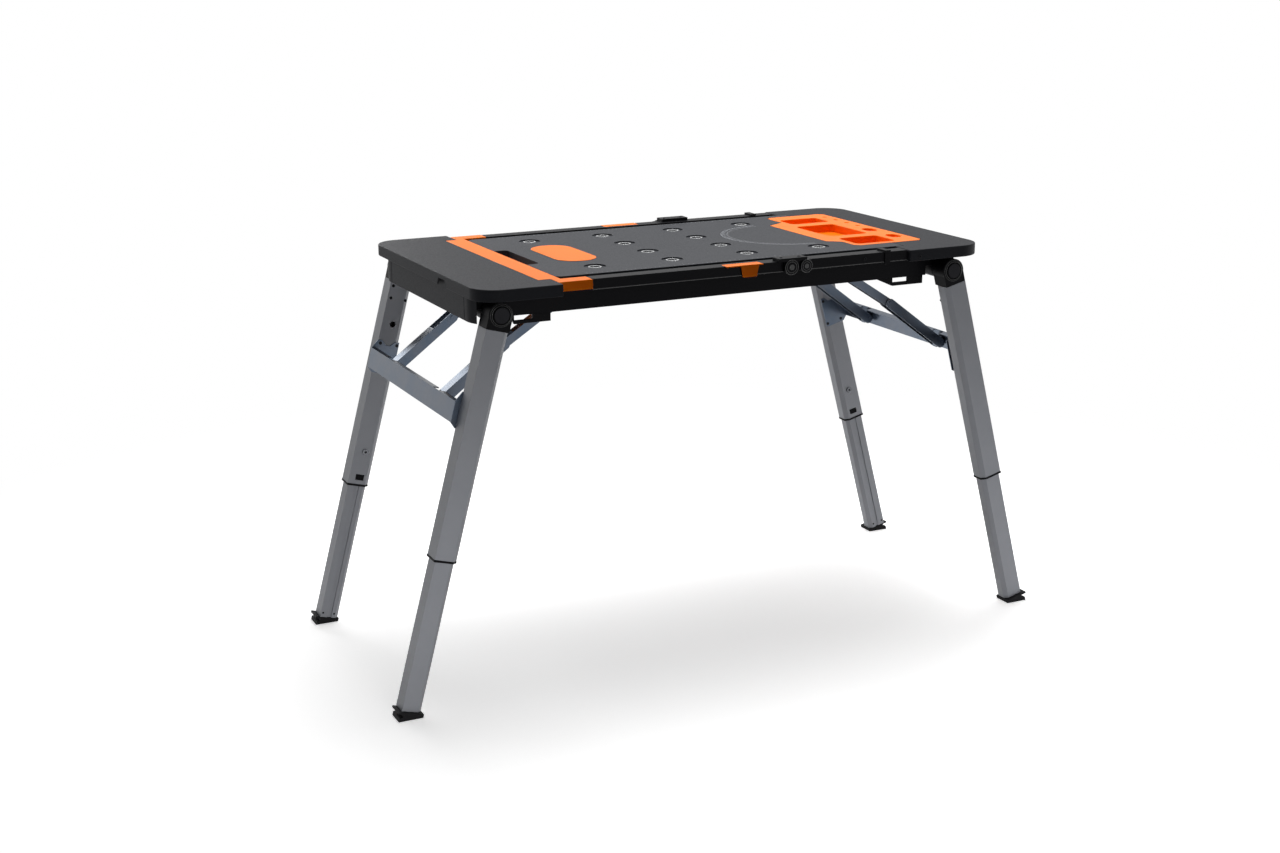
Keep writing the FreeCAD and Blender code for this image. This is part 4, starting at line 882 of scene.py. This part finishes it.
@dataclass
class TopFrame:
    """The fixed frame round the board, with its covers, rails, beams and fasteners.

    Attributes:
        disc_face_mm: Distance of the discs' faces from the bench's long middle line.
        disc_height: Height of the discs' middles, in metres.
    """

    disc_face_mm: float = 290.0
    disc_height: float = 0.7785

    def build(self) -> None:
        """Dress the covers, bars and fasteners."""
        for node in ("left_end_cap", "right_end_cap"):
            SoftNode(node, GRAINED_COVER, 1.8).build()
        for node in ("left_apron", "left_corner_posts"):
            SoftNode(node, GRAINED_COVER, 0.8).build()
        SoftNode("edge_band", ORANGE, 1.0).build()
        for side in SIDES:
            for end in ENDS:
                SoftNode(f"{side}_{end}_rail", BLACK_ANODISED, 0.8).build()
            SoftNode(f"{side}_lower_beam", BLACK_ANODISED, 0.6).build()
            SoftNode(f"{side}_hinge_link", BLACK_ANODISED, 0.6).build()
            SoftNode(f"{side}_latch", ORANGE, 0.6).build()
        for end in ENDS:
            SoftNode(f"{end}_cross_member", ZINC_PLATE, 0.4).build()
        for node in ("under_beam_brackets", "rail_clips"):
            SoftNode(node, BLACK_NYLON, 0.5).build()
        SoftNode("leg_pivot_bolts", BLACK_STEEL, 0.4).build()
        self._fasteners()
        self._beads()

    def _discs(self, side: str) -> list[tuple[Vector, float]]:
        """Give the centre and radius of both hinge link discs on one side."""
        out = SIDES[side] * self.disc_face_mm * MM
        return [(Vector((x * MM, out, self.disc_height)), radius)
                for x, radius in zip(DISC_X_MM[side], DISC_RADII_MM)]

    def _fasteners(self) -> None:
        """Set the screws of the plates, rails and right cap, and the hinge pins."""
        up = Vector((0, 0, 1))
        plates, faces, pins = [], [], []
        for side, hand in SIDES.items():
            out = Vector((0, hand, 0))
            y, z = PLATE_SCREW_YZ
            plates += [Seat(Vector((x * MM, hand * y, z)), up) for x in PLATE_SCREW_X_MM[side]]
            faces += [Seat(Vector((x, hand * y, z)), out) for x, y, z in FACE_SCREWS]
            pins += [Seat(centre, out, radius / DISC_RADII_MM[0])
                     for centre, radius in self._discs(side)]
        screws = Fitting("plate_screws", BLACK_STEEL, "top_frame", *HEADS_MM["plate_screw"],
                         plates).build()
        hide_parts("rail_screws")
        Fitting("face_screws", BLACK_STEEL, "top_frame", *HEADS_MM["face_screw"], faces).build()
        Fitting("hinge_pins", GLOSS_BLACK, "top_frame", *HEADS_MM["hinge_pin"], pins).build()

    def _beads(self) -> None:
        """Lay the bead along each rail's lower edge and the rims of the hinge discs."""
        runs, rims = [], []
        y, z = RAIL_BEAD_YZ
        for side, hand in SIDES.items():
            for end in ENDS:
                low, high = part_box(f"{side}_{end}_rail")
                runs.append([Vector((x, hand * y, z)) for x in (low.x, high.x)])
            out = Vector((0, hand, 0))
            for centre, radius in self._discs(side):
                rims += [ring(centre, out, radius - inset) for inset in RIM_INSETS_MM]
        Bead("rail_beads", GLOSS_BLACK, "top_frame", RAIL_BEAD_MM, runs).build()
        Bead("disc_rims", GLOSS_BLACK, "top_frame", RIM_MM, rims, closed=True).build()


# Places of the legs' small parts: across and down the leg, with the distance of their face from
# the bench's long middle line, all in millimetres. The foot's screws sit on the two flats beside
# the lower tube's groove, clear of its chamfers, so that they pass inside the upper tube.
FOOT_SCREWS = ([(-9.0, 744.0), (15.0, 744.0)], 250.9)
# The dark disc that paints the shade in the dimple of each lock button.
DIMPLE_SHADE_SEAT = ([(0.0, 390.0)], 243.7)
PLATE_RIVETS = ([(across, down) for across in (-18, 18) for down in (160, 215)], 245.0)
HEAD_SCREWS = ([(15.8, 39.8), (15.8, 65.0), (-15.8, 65.0)], 247.0)
HEAD_FACE_MM = 287.0
HEAD_STEP_MM = 1.5
HEAD_RIM_RADII_MM = (20.9, 18.2)
HEAD_RIM_MM = 0.6


@dataclass
class LegPair:
    """One pair of legs with its crossbar, lower legs, plungers and braces.

    Attributes:
        end: Which end of the bench the pair stands at.
    """

    end: str

    def build(self) -> None:
        """Dress both legs and what joins them."""
        tube = LEFT_TUBE if self.end == "left" else RIGHT_TUBE
        for side in SIDES:
            name = f"{side}_{self.end}_"
            SoftNode(name + "upper_tube", tube, 0.5).build()
            SoftNode(name + "lower_tube", tube, 0.5).build()
            SoftNode(name + "leg_head", BLACK_NYLON, 0.8).build()
            SoftNode(name + "foot", RUBBER, 0.8).build()
            SoftNode(name + "lock_plunger", BUTTON_STEEL, 0.5).build()
            SoftNode(name + "lower_brace_link", ZINC_PLATE, 0.3).build()
            SoftNode(name + "upper_brace_link", ZINC_PLATE, 0.3).build()
            SlotPlug(self.end, side).build()
            self._small_heads(side)
        SoftNode(self.end + "_end_collars", BLACK_NYLON, 0.5).build()
        SoftNode(self.end + "_crossbar", ZINC_PLATE, 0.4).build()
        self._rivets()

    def _seats(self, side: str, places: list[tuple[float, float]], y: float) -> list[Seat]:
        """Give seats on a leg's inner face at places across and down the leg."""
        inwards = Vector((0, -SIDES[side], 0))
        return [Seat(on_leg(self.end, side, across, down, y), inwards)
                for across, down in places]

    def _small_heads(self, side: str) -> None:
        """Set the foot's two screws and the dark disc that paints the shade in the button's
        dimple.
        """
        name = f"{side}_{self.end}_"
        Fitting(name + "foot_screws", BLACK_STEEL, name + "lower_leg",
                *HEADS_MM["foot_screw"], self._seats(side, *FOOT_SCREWS)).build()
        # A flat dark disc on the button paints the shade in its dimple.
        Fitting(name + "button_dimple", BLACK_STEEL, name + "plunger",
                *HEADS_MM["button_dimple"], self._seats(side, *DIMPLE_SHADE_SEAT)).build()

    def _rivets(self) -> None:
        """Set the rivets of the end plates, the screws of the heads and the heads' rims."""
        rivets, screws, rims = [], [], []
        for side, hand in SIDES.items():
            rivets += self._seats(side, *PLATE_RIVETS)
            screws += self._seats(side, *HEAD_SCREWS)
            face = on_leg(self.end, side, 0, 0, HEAD_FACE_MM)
            out = Vector((0, hand, 0))
            outer, inner = HEAD_RIM_RADII_MM
            rims += [ring(face, out, outer), ring(face + out * HEAD_STEP_MM * MM, out, inner)]
        body = self.end + "_legs"
        heads = Fitting(self.end + "_plate_rivets", BLACK_STEEL, body,
                        *HEADS_MM["plate_rivet"], rivets).build()
        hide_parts(self.end + "_leg_rivets")
        Fitting(self.end + "_head_screws", BLACK_STEEL, body, *HEADS_MM["head_screw"],
                screws).build()
        Bead(self.end + "_head_rims", GLOSS_BLACK, body, HEAD_RIM_MM, rims, closed=True).build()


@dataclass(frozen=True)
class Lamp:
    """A soft square lamp.

    Attributes:
        name: The lamp's name.
        at: Where it hangs, in metres.
        size: Width of its panel.
        power: Its power in watts.
        aim: The place that it points at.
        spread: How wide its grid lets the light out, in degrees.
    """

    name: str
    at: tuple[float, float, float]
    size: float
    power: float
    aim: tuple[float, float, float] = (0.0, 0.0, 0.5)
    spread: float = 180.0

    def hang(self) -> None:
        """Hang the lamp and turn it to what it lights."""
        data = bpy.data.lights.new(self.name, "AREA")
        data.size = self.size
        data.energy = self.power
        data.spread = math.radians(self.spread)
        lamp = bpy.data.objects.new(self.name, data)
        bpy.context.scene.collection.objects.link(lamp)
        at = Vector(self.at)
        turn = (Vector(self.aim) - at).to_track_quat("-Z", "Y").to_matrix().to_4x4()
        lamp.matrix_world = Matrix.Translation(at) @ turn


# A broad lamp overhead, one behind that draws the far edges, a weak one at the right, and two
# weak low ones that open up the fronts of the legs.
LAMPS = (
    Lamp("overhead", (0.45, 0.5, 2.9), 1.6, 68.0),
    Lamp("behind", (-0.5, 3.2, 1.5), 1.5, 32.0),
    Lamp("right", (2.8, -0.3, 0.9), 1.2, 4.0),
    Lamp("left_low", (-0.7, -2.5, 0.2), 0.8, 1.7, (-0.62, 0.0, -0.1), 40.0),
    Lamp("right_low", (0.7, -2.5, 0.2), 0.8, 1.7, (0.62, 0.0, -0.1), 40.0),
)


@dataclass
class Studio:
    """Camera, floor, world and lamps.

    Attributes:
        camera_at: Where the camera stands, in metres.
        yaw: Its turn about the vertical, in radians.
        pitch: Its tilt up, in radians.
        roll: Its turn about its own line of sight, in radians.
        lens_mm: Focal length on a sensor of sensor_mm.
        sensor_mm: Width of the sensor.
        view_end: How far the camera sees, in metres.
        fill: Level of the room's even light.
        floor_reach: Distance of the floor's edges from the middle, in metres.
        floor_tone: The floor's colour to the light that it passes on.
        floor_lift: Glow that the eye sees on the floor round the bench.
        floor_near: Distance from the middle where the floor starts to turn white.
        floor_far: Distance from the middle where it is white.
    """

    camera_at: Vector = field(default_factory=lambda: Vector((-1.6314, -3.2206, 1.3888)))
    yaw: float = 0.4501
    pitch: float = -0.2658
    roll: float = -0.0045
    lens_mm: float = 50.53
    sensor_mm: float = 36.0
    view_end: float = 200.0
    fill: float = 0.05
    floor_reach: float = 70.0
    floor_tone: str = "#ececec"
    floor_lift: float = 0.55
    floor_near: float = 0.9
    floor_far: float = 2.0

    def build(self) -> None:
        """Set the camera, floor, world and lamps."""
        self._camera()
        self._floor()
        self._world()
        for lamp in LAMPS:
            lamp.hang()

    def _seen(self, tree: bpy.types.NodeTree) -> bpy.types.NodeSocket:
        """Add the test for a ray that shows the background to the eye or in a surface."""
        path = add_node(tree, "ShaderNodeLightPath")
        direct = add_node(
            tree, "ShaderNodeMath", None,
            {0: path.outputs["Is Camera Ray"], 1: path.outputs["Is Glossy Ray"]},
            operation="MAXIMUM")
        return add_node(
            tree, "ShaderNodeMath", None,
            {0: direct.outputs[0], 1: path.outputs["Is Transmission Ray"]},
            operation="MAXIMUM").outputs[0]

    def _camera(self) -> None:
        """Stand the camera where the photograph was taken from."""
        data = bpy.data.cameras.new("camera")
        data.lens = self.lens_mm
        data.sensor_width = self.sensor_mm
        data.sensor_fit = "HORIZONTAL"
        data.clip_end = self.view_end
        camera = bpy.data.objects.new("camera", data)
        bpy.context.scene.collection.objects.link(camera)
        forward = Vector((math.sin(self.yaw) * math.cos(self.pitch),
                          math.cos(self.yaw) * math.cos(self.pitch), math.sin(self.pitch)))
        turn = forward.to_track_quat("-Z", "Y").to_matrix().to_4x4()
        spin = Matrix.Rotation(self.roll, 4, "Z")
        camera.matrix_world = Matrix.Translation(self.camera_at) @ turn @ spin
        bpy.context.scene.camera = camera

    def _floor(self) -> None:
        """Lay a plain pale floor that runs past the picture."""
        mesh = bpy.data.meshes.new("floor")
        reach = self.floor_reach
        mesh.from_pydata([(-reach, -reach, 0), (reach, -reach, 0), (reach, reach, 0),
                          (-reach, reach, 0)], [], [(0, 1, 2, 3)])
        floor = mesh_piece("floor", mesh)
        mesh.materials.append(self._paper())

    def _paper(self) -> bpy.types.Material:
        """Build the floor's paper: white to the eye, with the bench's shadow near it."""
        paper = bpy.data.materials.new("pale_paper")
        paper.use_nodes = True
        tree = paper.node_tree
        tree.nodes.clear()
        seen = self._seen(tree)
        tone = add_node(
            tree, "ShaderNodeMix", {6: linear(self.floor_tone), 7: linear("#ffffff")},
            {"Factor": seen}, data_type="RGBA")
        matte = add_node(tree, "ShaderNodeBsdfDiffuse", None, {"Color": tone.outputs[2]})
        lift = add_node(tree, "ShaderNodeMath", {1: self.floor_lift}, {0: seen},
                        operation="MULTIPLY")
        glow = add_node(tree, "ShaderNodeEmission", None, {"Strength": lift.outputs[0]})
        near = add_node(tree, "ShaderNodeAddShader", None,
                        {0: matte.outputs[0], 1: glow.outputs[0]})
        place = add_node(tree, "ShaderNodeTexCoord")
        away = add_node(tree, "ShaderNodeVectorMath", None, {0: place.outputs["Object"]},
                        operation="LENGTH")
        far = add_node(
            tree, "ShaderNodeMapRange",
            {"From Min": self.floor_near, "From Max": self.floor_far},
            {"Value": away.outputs["Value"]}, interpolation_type="SMOOTHSTEP")
        white = add_node(tree, "ShaderNodeEmission", None, {"Strength": seen})
        whole = add_node(tree, "ShaderNodeMixShader", None,
                         {0: far.outputs[0], 1: near.outputs[0], 2: white.outputs[0]})
        add_node(tree, "ShaderNodeOutputMaterial", None, {"Surface": whole.outputs[0]})
        return paper

    def _world(self) -> None:
        """Fill the room with a dim even light, and show it white."""
        world = bpy.data.worlds.new("room")
        world.use_nodes = True
        tree = world.node_tree
        tree.nodes.clear()
        level = add_node(
            tree, "ShaderNodeMapRange", {"To Min": self.fill, "To Max": 1.0},
            {"Value": self._seen(tree)})
        back = add_node(tree, "ShaderNodeBackground", {"Color": linear("#ffffff")},
                        {"Strength": level.outputs[0]})
        add_node(tree, "ShaderNodeOutputWorld", None, {"Surface": back.outputs[0]})
        bpy.context.scene.world = world


def main() -> None:
    """Build the bench's looks."""
    logging.basicConfig(level=logging.INFO, format="%(message)s")
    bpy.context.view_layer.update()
    bpy.context.scene.view_settings.view_transform = "Standard"
    Studio().build()
    Board().build()
    SoftNode("tool_tray", ORANGE, 1.2).build()
    TopFrame().build()
    for end in ENDS:
        LegPair(end).build()


if __name__ == "__main__":
    main()
